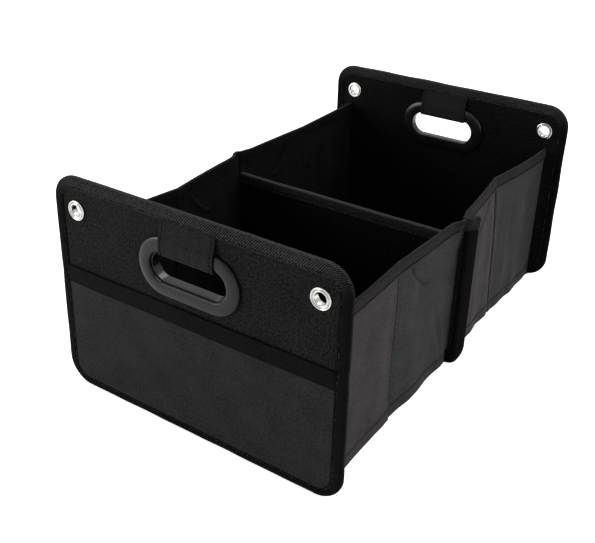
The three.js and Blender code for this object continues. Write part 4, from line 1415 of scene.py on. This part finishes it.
def studio():
    """White floor and background to the camera, plain soft light on the object."""
    bpy.ops.mesh.primitive_plane_add(size=FLOOR_SIZE, location=(0, 0, -FLOOR_DROP))
    floor = bpy.context.object
    floor.name = "studio_floor"
    graph = Finish("studio_white")
    graph.fill(graph.shader, Base_Color=(0.8, 0.8, 0.8, 1), Roughness=0.9)
    glow = graph.add("Emission", Color=WHITE, Strength=graph.math("MULTIPLY", graph.seen(), FLOOR_GLOW))
    both = graph.add("AddShader")
    graph.put(both.inputs[0], graph.shader.outputs[0])
    graph.put(both.inputs[1], glow.outputs[0])
    graph.fill(graph.out, Surface=both.outputs[0])
    floor.data.materials.append(graph.material)

    world = bpy.data.worlds.new("studio_world")
    bpy.context.scene.world = world
    world.use_nodes = True
    sky = Graph(world.node_tree)
    background = next(n for n in world.node_tree.nodes if n.type == "BACKGROUND")
    strength = sky.math("MULTIPLY_ADD", sky.seen(), 1 - AMBIENT, AMBIENT)
    sky.fill(background, Color=WHITE, Strength=strength)

    for name, (place_at, size, power) in LAMPS.items():
        light = bpy.data.lights.new(f"{name}_light", "AREA")
        light.size = size
        light.energy = power
        lamp = bpy.data.objects.new(f"{name}_light", light)
        lamp.location = place_at
        aim = Vector(LAMP_TARGET) - Vector(place_at)
        lamp.rotation_euler = aim.to_track_quat("-Z", "Y").to_euler()
        bpy.context.scene.collection.objects.link(lamp)
    bpy.context.scene.view_settings.view_transform = "Standard"


def camera():
    azimuth, elevation, roll = (math.radians(a) for a in (CAMERA_AZIMUTH, CAMERA_ELEVATION, CAMERA_ROLL))
    level = Vector((math.sin(azimuth), -math.cos(azimuth), 0))
    back = level * math.cos(elevation) + Vector((0, 0, math.sin(elevation)))
    right = Vector((math.cos(azimuth), math.sin(azimuth), 0))
    up = back.cross(right)
    right, up = right * math.cos(roll) + up * math.sin(roll), up * math.cos(roll) - right * math.sin(roll)
    eye = (back * CAMERA_DISTANCE + right * CAMERA_ASIDE + up * CAMERA_UP) * MM
    data = bpy.data.cameras.new("photo_camera")
    data.sensor_width = SENSOR_WIDTH
    data.lens = FOCAL_PIXELS * SENSOR_WIDTH / IMAGE_WIDTH
    data.shift_x = (IMAGE_WIDTH / 2 - CENTRE_PIXEL[0]) / IMAGE_WIDTH
    data.shift_y = (CENTRE_PIXEL[1] - IMAGE_HEIGHT / 2) / IMAGE_WIDTH
    seen_by = bpy.data.objects.new("photo_camera", data)
    seen_by.matrix_world = Matrix.Translation(eye) @ Matrix((right, up, back)).transposed().to_4x4()
    bpy.context.scene.collection.objects.link(seen_by)
    bpy.context.scene.camera = seen_by


# CAD nodes that stay as they are take a finish

def dress(nodes, material):
    for node in nodes:
        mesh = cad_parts[node].data
        mesh.materials.clear()
        mesh.materials.append(material)


camera()
studio()
for end, seed, sides in (("front", 100, ("left", "right")), ("rear", 200, ("right", "left"))):
    panel_sheet(end, "panel_cover", COVER_AT, -1, seed, COVER_CLOTH, "cloth", f"{end}_panel_cloth")
    panel_sheet(end, "panel_inner_cloth", LINING_FACE, 1, seed + 5, LINING_CLOTH, "lining",
                f"{end}_panel_lining")
    panel_binding(end)
    panel_stitches(end)
    grip(end)
    grip_strap(end)
    for side_name, mirrored in zip(sides, (-1, 1)):
        eyelet(end, side_name, mirrored * EYELET_X)
        half_wall = Wall(end, side_name, mirrored, seed + 20 + mirrored)
        side_wall(half_wall)
        hem_tape(half_wall)
    for part_name in ("outer", "inner"):
        floor_sleeve(end, part_name)
    hinge_cloth(end)
pocket()
pocket_band()
care_label()
divider()
divider_tape()
fin_tape("right", 1)
fin_tape("left", -1)
dress([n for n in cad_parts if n.endswith("_board")], FIBRE_BOARD)
